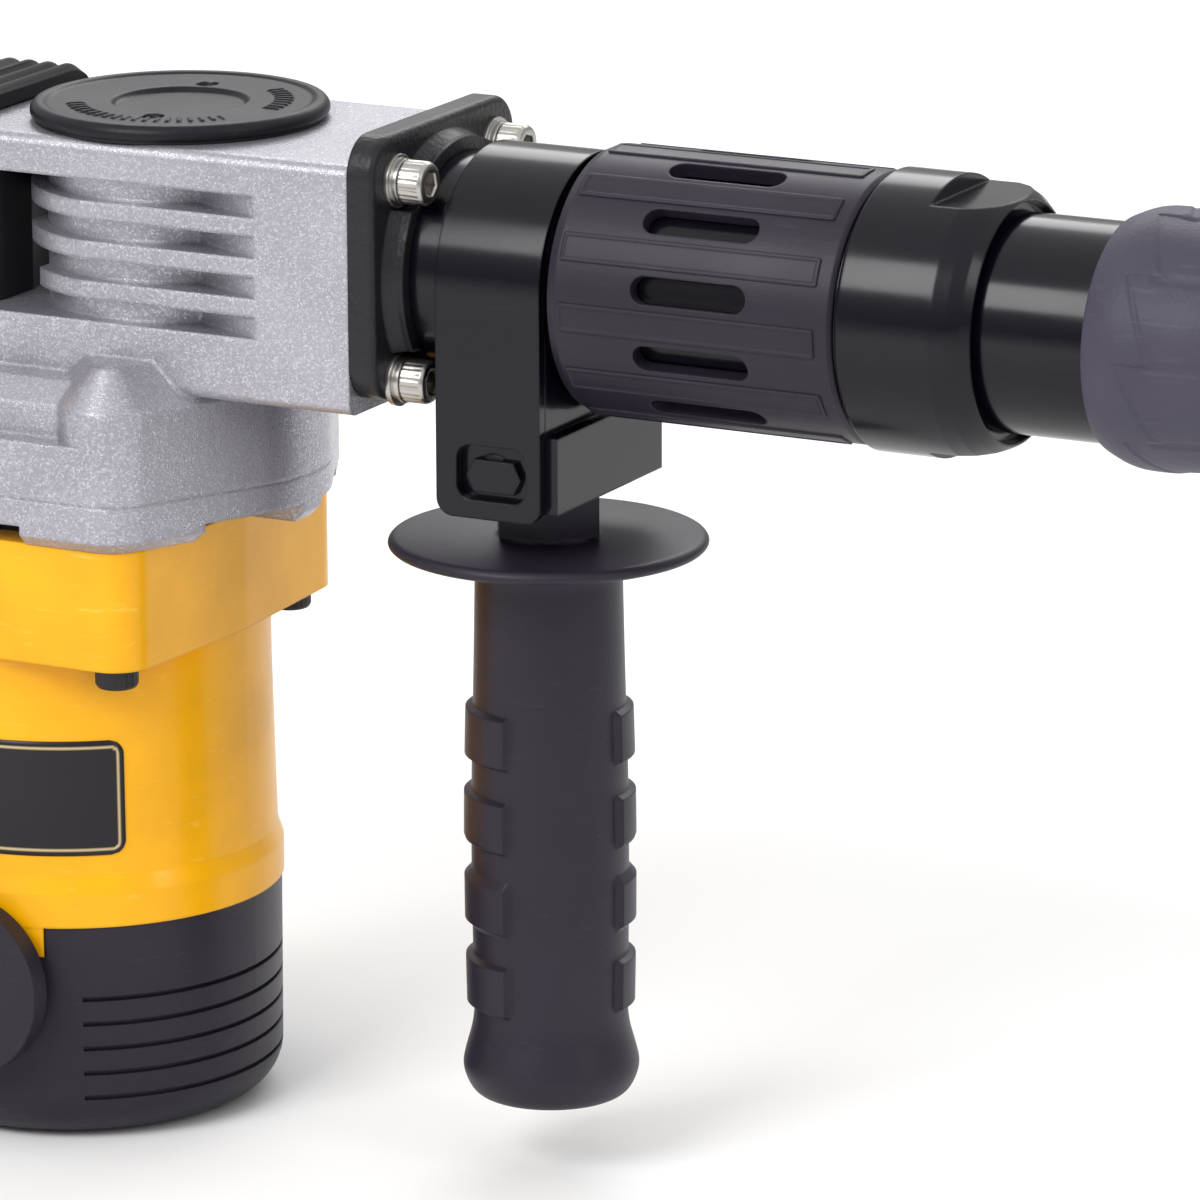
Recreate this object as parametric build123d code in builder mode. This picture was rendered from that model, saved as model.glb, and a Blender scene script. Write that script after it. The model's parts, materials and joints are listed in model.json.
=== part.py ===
from build123d import *
import os
from math import acos, cos, pi, radians, sin, tan

STANDING = (Align.CENTER, Align.CENTER, Align.MIN)     # a body that stands on its place

os.makedirs("parts", exist_ok=True)

# Demolition hammer. Millimetres. The origin is on the motor axis, at the underside of the
# motor's end cap. +X runs along the hammer axis towards the nose, +Z is up.

# ---------------------------------------------------------------- driving dimensions
AXIS_Z = 208.0          # height of the hammer axis
CRANK_X = 31.5          # crankshaft axis, from the motor axis
CRANK_THROW = 12.0      # half of the piston's stroke
ROD_LENGTH = 48.0       # crank pin to wrist pin

LOBE_X = 35.7           # motor screws, from the motor axis
LOBE_Y = 39.7
SCREW_R = 2.9           # M6 shank
SCREW_HOLE_R = 3.2
M6_HEAD_R = 5.0
M6_HEAD = 6.0           # height of a cap screw's head
M6_SOCKET = 2.9         # half the width across the corners of its hexagon socket

CAP_TOP = 52.0          # seam between end cap and motor housing
FLANGE_SEAT = 118.0     # face that the motor screws bear on
HOUSING_TOP = 144.0     # seam between motor housing and bearing plate
PLATE_TOP = 155.0       # seam between bearing plate and gear housing
SHOULDER_Z = 176.0      # outer edge of the gear housing's shoulder
DECK_LOW = 226.0        # underside of the deck
DECK_TOP = 234.8        # top of the deck
BLOCK_HALF = 33.5       # half the width of deck and front block
BLOCK_END = 93.5        # front face of the gear housing
DECK_REAR = -8.4        # rear face of the deck
HOUSING_REAR = -20.0    # rear face of the gear housing below the deck

MOTOR_R = 47.0          # outer radius of the motor housing
MOTOR_BORE = 43.1
PLATE_FRONT = 100.0     # front face of the barrel's flange plate
BARREL_R = 25.2
BARREL_BORE = 21.6
STRAP_R = 28.2          # outer radius of the side handle's strap
HANDLE_X = 125.7        # side handle axis
SLEEVE_START = 140.3
SLEEVE_END = 210.4
SLEEVE_R = 30.2
COLLAR_START = 211.5
COLLAR_END = 242.0
COLLAR_R = 31.2
TUBE_R = 24.1           # visible neck of the tool holder
NOSE_START = 267.0
NOSE_R = 28.7
NOSE_END = 302.0
TOOL_R = 9.0            # tool bore
PIVOT_Z = 38.0          # rear handle's pivot, on the motor axis
PISTON_R = 16.93
BORE_R = 17.0           # bore of the air cylinder
FIT = 0.06              # radial clearance of a running fit
GAP = 0.3               # clearance between moving bodies

# ---------------------------------------------------------------- planes and axes
HAMMER = Plane(origin=(0, 0, AXIS_Z), x_dir=(1, 0, 0), z_dir=(0, -1, 0))
HAMMER_AXIS = Axis((0, 0, AXIS_Z), (1, 0, 0))
MOTOR_AXIS = Axis.Z
CRANK_AXIS = Axis((CRANK_X, 0, 0), (0, 0, 1))
HANDLE_AXIS = Axis((HANDLE_X, 0, 0), (0, 0, 1))
CRANK_SIDE = Plane(origin=(CRANK_X, 0, 0), x_dir=(1, 0, 0), z_dir=(0, -1, 0))
GRIP_SIDE = Plane(origin=(HANDLE_X, 0, 0), x_dir=(1, 0, 0), z_dir=(0, -1, 0))


def across(x):
    """Plane square to the hammer axis at x: its x is +Y and its y is +Z, counted from the axis."""
    return Plane(origin=(x, 0, AXIS_Z), x_dir=(0, 1, 0), z_dir=(1, 0, 0))


def side_plane(y):
    """Vertical plane at y seen from -Y: its x is +X and its y is +Z."""
    return Plane(origin=(0, y, 0), x_dir=(1, 0, 0), z_dir=(0, -1, 0))


def radial_plane(angle):
    """Upright plane through the motor axis, turned by angle degrees from +X."""
    a = radians(angle)
    return Plane(origin=(0, 0, 0), x_dir=(cos(a), sin(a), 0), z_dir=(sin(a), -cos(a), 0))


LOBES = [(LOBE_X, LOBE_Y), (LOBE_X, -LOBE_Y), (-LOBE_X, LOBE_Y), (-LOBE_X, -LOBE_Y)]


def flange_outline(lobe_r, front_r):
    """Outline of a motor flange: four screw lobes and the round front, with a taut line round them."""
    with BuildSketch(mode=Mode.PRIVATE) as outline:
        with Locations(*LOBES):
            Circle(lobe_r)
        with Locations((CRANK_X, 0)):
            Circle(front_r)
        make_hull()
    return outline.sketch


def gear_outline(teeth, module, shift, tip_r, backlash, turn):
    """Spur gear outline with involute flanks, each an arc through three points of its involute."""
    pressure = radians(20)
    pitch_r = teeth * module / 2
    base_r = pitch_r * cos(pressure)
    root_r = pitch_r - module * (1.25 - shift)
    thickness = module * (pi / 2 + 2 * shift * tan(pressure)) - backlash
    half_base = thickness / 2 / pitch_r + tan(pressure) - pressure
    start_r = max(base_r, root_r)

    def half_angle(r):
        """Half of the angle that a tooth fills at radius r."""
        a = acos(min(1.0, base_r / r))
        return half_base - (tan(a) - a)

    def at(r, angle):
        return (r * cos(angle), r * sin(angle))

    middle_r = (start_r + tip_r) / 2
    with BuildSketch(mode=Mode.PRIVATE) as outline:
        with BuildLine():
            for tooth in range(teeth):
                centre = radians(turn) + 2 * pi * tooth / teeth
                following = centre + 2 * pi / teeth
                rise = [at(r, centre - half_angle(r)) for r in (start_r, middle_r, tip_r)]
                fall = [at(r, centre + half_angle(r)) for r in (tip_r, middle_r, start_r)]
                low = at(root_r, centre - half_angle(start_r))
                end = at(root_r, centre + half_angle(start_r))
                onward = at(root_r, following - half_angle(start_r))
                if start_r > root_r:
                    Line(low, rise[0])
                ThreePointArc(*rise)
                Line(rise[2], fall[0])
                ThreePointArc(*fall)
                if start_r > root_r:
                    Line(fall[2], end)
                Line(end, onward)
        make_face()
    return outline.sketch


# ================================================================= motor
# ---- end cap: deep round cup with five fine grooves, seats for the bearing and the pivot pins
CAP_R = 47.6
with BuildPart() as motor_end_cap:
    with BuildSketch(Plane.XZ):
        Polygon(
            (0, 0), (CAP_R, 0), (48.0, CAP_TOP), (45.0, CAP_TOP), (44.4, 13), (36.5, 3.2), (14.5, 3.2),
            (14.5, 20), (11.05, 20), (11.05, 12), (8, 12), (8, 3.2), (0, 3.2), align=None,
        )
    revolve(axis=MOTOR_AXIS)
    fillet(motor_end_cap.edges().group_by(Axis.Z)[0], radius=11)
    with Locations(Location((0, -41.5, PIVOT_Z), (90, 0, 0)), Location((0, 41.5, PIVOT_Z), (90, 0, 0))):
        Cylinder(radius=9, height=8)
    for side in (-58, 122):
        for groove in range(5):
            with BuildSketch(radial_plane(side)):
                with Locations((CAP_R, 10.8 + 5.95 * groove)):
                    Rectangle(2.2, 1.1)
            revolve(axis=MOTOR_AXIS, revolution_arc=116, mode=Mode.SUBTRACT)
    for side in (-112, 68):
        with BuildSketch(radial_plane(side)):
            with Locations((46.5, CAP_TOP)):
                Rectangle(6, 14)
        revolve(axis=MOTOR_AXIS, revolution_arc=44, mode=Mode.SUBTRACT)
    with Locations(Location((0, 0, PIVOT_Z), (90, 0, 0))):
        Cylinder(radius=5.0, height=120, mode=Mode.SUBTRACT)
    with Locations((0, 0, 10)):
        with PolarLocations(26, 10):
            Cylinder(radius=3, height=30, mode=Mode.SUBTRACT)
motor_end_cap.part.label = "motor_end_cap"
export_step(motor_end_cap.part, "parts/motor_end_cap.step")

# ---- motor housing: tapered tube with a lip below and a four-lobed flange above
with BuildPart() as motor_housing:
    with BuildSketch(Plane.XZ):
        Polygon(
            (30, CAP_TOP), (48.5, CAP_TOP), (48.5, 60), (MOTOR_R + 0.2, 64), (MOTOR_R - 0.7, 104),
            (MOTOR_R - 0.7, HOUSING_TOP), (30, HOUSING_TOP), align=None,
        )
    revolve(axis=MOTOR_AXIS)
    with BuildSketch(Plane.XY.offset(116)):
        add(flange_outline(9, 15.5))
    extrude(amount=HOUSING_TOP - 116)
    for side in (-111.6, 68.4):
        with BuildSketch(radial_plane(side)):
            with Locations((46.6, CAP_TOP - 3.4)):
                Rectangle(3.6, 7)
        revolve(axis=MOTOR_AXIS, revolution_arc=43.2)
    with BuildSketch(Plane.XZ):
        Polygon(
            (0, 40), (45.0, 40), (45.0, 54), (MOTOR_BORE, 57), (MOTOR_BORE, 119), (40.5, 123),
            (40.5, HOUSING_TOP + 1), (0, HOUSING_TOP + 1), align=None,
        )
    revolve(axis=MOTOR_AXIS, mode=Mode.SUBTRACT)
    with Locations(*[(x, y, FLANGE_SEAT - 10) for x, y in LOBES]):
        Cylinder(radius=6.6, height=20, mode=Mode.SUBTRACT)
    with Locations(*[(x, y, 130) for x, y in LOBES]):
        Cylinder(radius=SCREW_HOLE_R, height=40, mode=Mode.SUBTRACT)
motor_housing.part.label = "motor_housing"
export_step(motor_housing.part, "parts/motor_housing.step")

WASHER = 1.5

# ---- side labels: two thin curved plates on the housing's sides
with BuildPart() as side_labels:
    for side in (-90, 90):
        with BuildSketch(radial_plane(side - 45)):
            Polygon(
                (MOTOR_R - 0.55, 69), (MOTOR_R + 0.75, 69), (MOTOR_R + 0.4, 96), (MOTOR_R - 0.9, 96),
                align=None,
            )
        revolve(axis=MOTOR_AXIS, revolution_arc=90)
    with BuildSketch(Plane.XZ):
        Polygon(
            (0, CAP_TOP), (MOTOR_R + 0.2, 64), (MOTOR_R - 0.7, 104), (0, 104), align=None,
        )
    revolve(axis=MOTOR_AXIS, mode=Mode.SUBTRACT)
    fillet(side_labels.edges().filter_by(lambda e: abs(e.tangent_at(0.5).Z) < 0.2 and e.length < 2),
        radius=3)
side_labels.part.label = "side_labels"
export_step(side_labels.part, "parts/side_labels.step")

# ================================================================= motor, inside
CORE_LOW = 78.0
CORE_TOP = 116.0
CORE_R = 24.0
COMMUTATOR_LOW = 52.0
COMMUTATOR_TOP = 67.0
COMMUTATOR_R = 13.0
SEGMENTS = 22
BRUSH_Z = 59.5
FAN_LOW = 126.0
FAN_TOP = 137.0
FAN_R = 37.5
FAN_BLADES = 12
PINION_TEETH = 9
PINION_LOW = 157.0
PINION_TOP = 168.5
PINION_TIP = 5.85
PINION_SHIFT = 0.5
GEAR_TEETH = 54
GEAR_LOW = 157.5
GEAR_TOP = 167.0
GEAR_TIP = 27.4
BACKLASH = 0.1

# ---- bearings: a ring with a hollow between its races, seen from both ends
BEARING_SMALL_R = 11.0
BEARING_SMALL_H = 7.0
BEARING_LARGE_R = 13.0
BEARING_LARGE_H = 8.0
LOWER_MOTOR_BEARING = 12.1
UPPER_MOTOR_BEARING = 146.9
LOWER_CRANK_BEARING = 147.9
UPPER_CRANK_BEARING = 172.0


def bearing_profile(outer_r, bore_r, height, z):
    """Half section of a ball bearing with a shallow recess between its two rings on each end face."""
    third = (outer_r - bore_r) / 3
    return [
        (bore_r, z), (bore_r + third, z), (bore_r + third, z + 0.8), (outer_r - third, z + 0.8),
        (outer_r - third, z), (outer_r, z), (outer_r, z + height), (outer_r - third, z + height),
        (outer_r - third, z + height - 0.8), (bore_r + third, z + height - 0.8),
        (bore_r + third, z + height), (bore_r, z + height),
    ]


with BuildPart() as ball_bearings:
    with BuildSketch(Plane.XZ):
        Polygon(*bearing_profile(BEARING_SMALL_R, 4 + FIT, BEARING_SMALL_H, LOWER_MOTOR_BEARING),
            align=None)
    revolve(axis=MOTOR_AXIS)
    with BuildSketch(Plane.XZ):
        Polygon(*bearing_profile(BEARING_LARGE_R, 5 + FIT, BEARING_LARGE_H, UPPER_MOTOR_BEARING),
            align=None)
    revolve(axis=MOTOR_AXIS)
    with BuildSketch(CRANK_SIDE):
        Polygon(*bearing_profile(BEARING_SMALL_R, 5 + FIT, BEARING_SMALL_H, LOWER_CRANK_BEARING),
            align=None)
    revolve(axis=CRANK_AXIS)
    with BuildSketch(CRANK_SIDE):
        Polygon(*bearing_profile(BEARING_LARGE_R, 7 + FIT, BEARING_LARGE_H, UPPER_CRANK_BEARING),
            align=None)
    revolve(axis=CRANK_AXIS)
ball_bearings.part.label = "ball_bearings"
export_step(ball_bearings.part, "parts/ball_bearings.step")

# ---- stator: laminated ring with two pole shoes, coils in the gaps between the poles
STATOR_BORE = CORE_R + 0.8
with BuildPart() as stator_core:
    with BuildSketch(Plane.XY.offset(CORE_LOW)):
        Circle(MOTOR_BORE - 0.05)
        Circle(STATOR_BORE, mode=Mode.SUBTRACT)
        with Locations((0, 31), (0, -31)):
            Rectangle(46, 10, mode=Mode.SUBTRACT)
    extrude(amount=CORE_TOP - CORE_LOW)
stator_core.part.label = "stator_core"
export_step(stator_core.part, "parts/stator_core.step")

with BuildPart() as stator_coils:
    with BuildSketch(Plane.XY.offset(CORE_LOW - 7)):
        with Locations((-17, 31.2), (17, 31.2), (-17, -31.2), (17, -31.2)):
            Rectangle(9, 7)
    extrude(amount=CORE_TOP - CORE_LOW + 13)
    for low in (CORE_LOW - 7, CORE_TOP + 0.5):
        with BuildSketch(Plane.XY.offset(low)):
            with Locations((0, 31.2), (0, -31.2)):
                Rectangle(43, 7)
        extrude(amount=5.5)
stator_coils.part.label = "stator_coils"
export_step(stator_coils.part, "parts/stator_coils.step")

# ---- armature: stepped shaft that ends in the pinion, slotted core, commutator, fan
with BuildPart() as armature_shaft:
    with BuildSketch(Plane.XZ):
        Polygon(
            (0, 11), (3.6, 11), (4, 11.4), (4, 20), (5.5, 21), (5.5, 145), (5, 146), (5, PINION_LOW - 1),
            (3.7, PINION_LOW), (0, PINION_LOW), align=None,
        )
    revolve(axis=MOTOR_AXIS)
    with BuildSketch(Plane.XY.offset(PINION_LOW)):
        add(gear_outline(PINION_TEETH, 1.0, PINION_SHIFT, PINION_TIP, BACKLASH, 0))
    extrude(amount=PINION_TOP - PINION_LOW)
armature_shaft.part.label = "armature_shaft"
export_step(armature_shaft.part, "parts/armature_shaft.step")

with BuildPart() as armature_core:
    with BuildSketch(Plane.XY.offset(CORE_LOW)):
        Circle(CORE_R)
        Circle(5.5, mode=Mode.SUBTRACT)
        with PolarLocations(CORE_R - 2, 12):
            Rectangle(5, 2, mode=Mode.SUBTRACT)
    extrude(amount=CORE_TOP - CORE_LOW)
armature_core.part.label = "armature_core"
export_step(armature_core.part, "parts/armature_core.step")

with BuildPart() as armature_windings:
    for low in (CORE_LOW - 8, CORE_TOP):
        with BuildSketch(Plane.XZ):
            Polygon((5.5, low), (17, low), (21, low + 3), (21, low + 8), (5.5, low + 8), align=None)
        revolve(axis=MOTOR_AXIS)
armature_windings.part.label = "armature_windings"
export_step(armature_windings.part, "parts/armature_windings.step")

with BuildPart() as commutator:
    with BuildSketch(Plane.XY.offset(COMMUTATOR_LOW)):
        Circle(COMMUTATOR_R)
        Circle(5.5, mode=Mode.SUBTRACT)
        with PolarLocations(COMMUTATOR_R, SEGMENTS):
            Rectangle(1.6, 0.5, mode=Mode.SUBTRACT)
    extrude(amount=COMMUTATOR_TOP - COMMUTATOR_LOW)
commutator.part.label = "commutator"
export_step(commutator.part, "parts/commutator.step")

with BuildPart() as fan:
    with BuildSketch(Plane.XZ):
        Polygon(
            (5.5, FAN_LOW), (9, FAN_LOW), (9, FAN_TOP - 2), (FAN_R, FAN_TOP - 2), (FAN_R, FAN_TOP),
            (5.5, FAN_TOP), align=None,
        )
    revolve(axis=MOTOR_AXIS)
    with BuildSketch(Plane.XY.offset(FAN_LOW)):
        with PolarLocations(22, FAN_BLADES):
            Rectangle(26, 1.4, rotation=25)
    extrude(amount=FAN_TOP - FAN_LOW)
    with BuildSketch(Plane.XY.offset(FAN_LOW - 1)):
        Circle(60)
        Circle(FAN_R, mode=Mode.SUBTRACT)
        Circle(5.5)
    extrude(amount=FAN_TOP - FAN_LOW + 2, mode=Mode.SUBTRACT)
fan.part.label = "fan"
export_step(fan.part, "parts/fan.step")

# ---- brush gear: brass boxes, one each side of the commutator, and the carbons inside them
with BuildPart() as brush_holders:
    for side in (-1, 1):
        with Locations((side * 28.5, 0, BRUSH_Z)):
            Box(27, 11, 14)
            Box(30, 7.2, 10.2, mode=Mode.SUBTRACT)
brush_holders.part.label = "brush_holders"
export_step(brush_holders.part, "parts/brush_holders.step")

with BuildPart() as carbon_brushes:
    for side in (-1, 1):
        with Locations((side * 21.6, 0, BRUSH_Z)):
            Box(16, 7, 10)
    Cylinder(radius=COMMUTATOR_R + 0.25, height=200, mode=Mode.SUBTRACT)
carbon_brushes.part.label = "carbon_brushes"
export_step(carbon_brushes.part, "parts/carbon_brushes.step")

# ================================================================= crank drive
DISC_LOW = 184.0
DISC_TOP = 196.0
DISC_R = 20.0
PIN_R = 6.0
BIG_END_R = 8.7         # clears the crankcase bore at full stroke and full swing
SMALL_END_R = 7.5
ROD_HALF = 6.0
PIN_X = CRANK_X - CRANK_THROW      # crank pin at the rear dead centre
WRIST_X = PIN_X + ROD_LENGTH

with BuildPart() as crank_shaft:
    with BuildSketch(CRANK_SIDE):
        Polygon(
            (0, 148.2), (4.6, 148.2), (5, 148.7), (5, 156), (8, 156.3), (8, GEAR_TOP + 1),
            (7, GEAR_TOP + 2),
            (7, DISC_LOW - 2.5), (9, DISC_LOW - 2), (9, DISC_LOW), (DISC_R, DISC_LOW), (DISC_R, DISC_TOP),
            (0, DISC_TOP), align=None,
        )
    revolve(axis=CRANK_AXIS)
    with Locations((CRANK_X + 13, 0, DISC_LOW), (CRANK_X + 6, 12, DISC_LOW), (CRANK_X + 6, -12, DISC_LOW)):
        Cylinder(radius=3, height=30, mode=Mode.SUBTRACT)
crank_shaft.part.label = "crank_shaft"
export_step(crank_shaft.part, "parts/crank_shaft.step")

with BuildPart() as crank_gear:
    with BuildSketch(Plane.XY.offset(GEAR_LOW)):
        with Locations((CRANK_X, 0)):
            add(gear_outline(GEAR_TEETH, 1.0, -PINION_SHIFT, GEAR_TIP, BACKLASH, 180 / GEAR_TEETH))
        with Locations((CRANK_X, 0)):
            Circle(8.0, mode=Mode.SUBTRACT)
    extrude(amount=GEAR_TOP - GEAR_LOW)
    for low in (GEAR_LOW, GEAR_TOP - 2):
        with BuildSketch(Plane.XY.offset(low)):
            with Locations((CRANK_X, 0)):
                Circle(22)
                Circle(12, mode=Mode.SUBTRACT)
        extrude(amount=2, mode=Mode.SUBTRACT)
crank_gear.part.label = "crank_gear"
export_step(crank_gear.part, "parts/crank_gear.step")

# ---- connecting rod with round ends and a waisted shank, and its crank pin
with BuildPart() as connecting_rod:
    with BuildSketch(Plane.XY.offset(AXIS_Z - ROD_HALF)):
        with Locations((PIN_X, 0)):
            Circle(BIG_END_R)
        with Locations((WRIST_X, 0)):
            Circle(SMALL_END_R)
        with Locations(((PIN_X + WRIST_X) / 2, 0)):
            Rectangle(ROD_LENGTH, 9)
        with Locations((PIN_X, 0)):
            Circle(PIN_R, mode=Mode.SUBTRACT)
        with Locations((WRIST_X, 0)):
            Circle(4 + FIT, mode=Mode.SUBTRACT)
    extrude(amount=2 * ROD_HALF)
connecting_rod.part.label = "connecting_rod"
export_step(connecting_rod.part, "parts/connecting_rod.step")

with BuildPart() as crank_pin:
    with Locations((PIN_X, 0, DISC_TOP + 0.4)):
        Cylinder(radius=8, height=3.6, align=STANDING)
        Cylinder(radius=PIN_R, height=AXIS_Z + ROD_HALF + 1 - DISC_TOP, align=STANDING)
crank_pin.part.label = "crank_pin"
export_step(crank_pin.part, "parts/crank_pin.step")

# ---- piston: hollow rear skirt that takes the rod, two ring grooves, flat face
PISTON_REAR = WRIST_X - 12
PISTON_FRONT = WRIST_X + 16
with BuildPart() as piston:
    with BuildSketch(HAMMER):
        Polygon(
            (PISTON_REAR, 0), (PISTON_REAR, PISTON_R), (PISTON_FRONT - 9, PISTON_R),
            (PISTON_FRONT - 9, PISTON_R - 2), (PISTON_FRONT - 5, PISTON_R - 2),
            (PISTON_FRONT - 5, PISTON_R),
            (PISTON_FRONT, PISTON_R), (PISTON_FRONT, 0), align=None,
        )
    revolve(axis=HAMMER_AXIS)
    with BuildSketch(side_plane(0)):
        with Locations((WRIST_X - 4.5, AXIS_Z)):
            Rectangle(27, 2 * ROD_HALF + 1)
    extrude(amount=13.5, both=True, mode=Mode.SUBTRACT)
    with Locations((WRIST_X, 0, AXIS_Z)):
        Cylinder(radius=4, height=60, mode=Mode.SUBTRACT)
piston.part.label = "piston"
export_step(piston.part, "parts/piston.step")

with BuildPart() as piston_ring:
    with BuildSketch(HAMMER):
        with Locations((PISTON_FRONT - 7, PISTON_R - 1)):
            Rectangle(3.8, 1.9)
    revolve(axis=HAMMER_AXIS)
piston_ring.part.label = "piston_ring"
export_step(piston_ring.part, "parts/piston_ring.step")

with BuildPart() as wrist_pin:
    with Locations((WRIST_X, 0, AXIS_Z)):
        Cylinder(radius=4, height=30)
wrist_pin.part.label = "wrist_pin"
export_step(wrist_pin.part, "parts/wrist_pin.step")

# ================================================================= gear housing
# ---- bearing plate: carries both lower bearings, lets the fan's air out through slots at its lower edge
with BuildPart() as bearing_plate:
    with BuildSketch(Plane.XY.offset(HOUSING_TOP)):
        add(flange_outline(12, 33.5))
    extrude(amount=PLATE_TOP - HOUSING_TOP)
    chamfer(bearing_plate.faces().sort_by(Axis.Z)[0].outer_wire().edges(), length=2.6)
    with BuildSketch(Plane.XZ):
        Polygon(
            (0, HOUSING_TOP - 1), (39, HOUSING_TOP - 1), (39, HOUSING_TOP + 2.2), (15, HOUSING_TOP + 2.2),
            (15, HOUSING_TOP + 1), (7, HOUSING_TOP + 1), (7, UPPER_MOTOR_BEARING),
            (BEARING_LARGE_R, UPPER_MOTOR_BEARING), (BEARING_LARGE_R, PLATE_TOP + 1), (0, PLATE_TOP + 1),
            align=None,
        )
    revolve(axis=MOTOR_AXIS, mode=Mode.SUBTRACT)
    with Locations((CRANK_X, 0, LOWER_CRANK_BEARING)):
        Cylinder(radius=BEARING_SMALL_R, height=20, align=STANDING,
            mode=Mode.SUBTRACT)
    with Locations((-6, -50, HOUSING_TOP + 1.9), (-6, 50, HOUSING_TOP + 1.9), (-48, 0, HOUSING_TOP + 1.9)):
        Box(48, 40, 5.6, mode=Mode.SUBTRACT)
    with BuildSketch(Plane.XY.offset(HOUSING_TOP - 1)):
        Polygon((24, -18), (46, -30), (70, -30), (70, -4), (40, -4), align=None)
        mirror(about=Plane.XZ)
    extrude(amount=5.4, mode=Mode.SUBTRACT)
    with Locations(*[(x, y, 150) for x, y in LOBES]):
        Cylinder(radius=SCREW_HOLE_R, height=30, mode=Mode.SUBTRACT)
bearing_plate.part.label = "bearing_plate"
export_step(bearing_plate.part, "parts/bearing_plate.step")

# ---- gear housing: lower flange in two tiers, front lobes, upper block with cooling fins, deck
CRANKCASE_R = 27.0
WALL_R = 30.5           # outside of the crankcase between the fins
FIN_R = 34.2
TIER_LOW = 168.5        # top of the wide flange
WINDOW_LOW = 193.4      # lowest cooling slot
SLOT = 5.0
SLOT_PITCH = 9.2
CAP_BORE = 28.2
SLOTS = 4



def front_outline(inset):
    """Outline round the two front screw lobes and the crank, drawn in by inset."""
    with BuildSketch(mode=Mode.PRIVATE) as outline:
        with Locations((LOBE_X, LOBE_Y), (LOBE_X, -LOBE_Y)):
            Circle(12 - inset)
        with Locations((CRANK_X, 0)):
            Circle(33.5 - inset)
        make_hull()
    return outline.sketch


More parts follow.
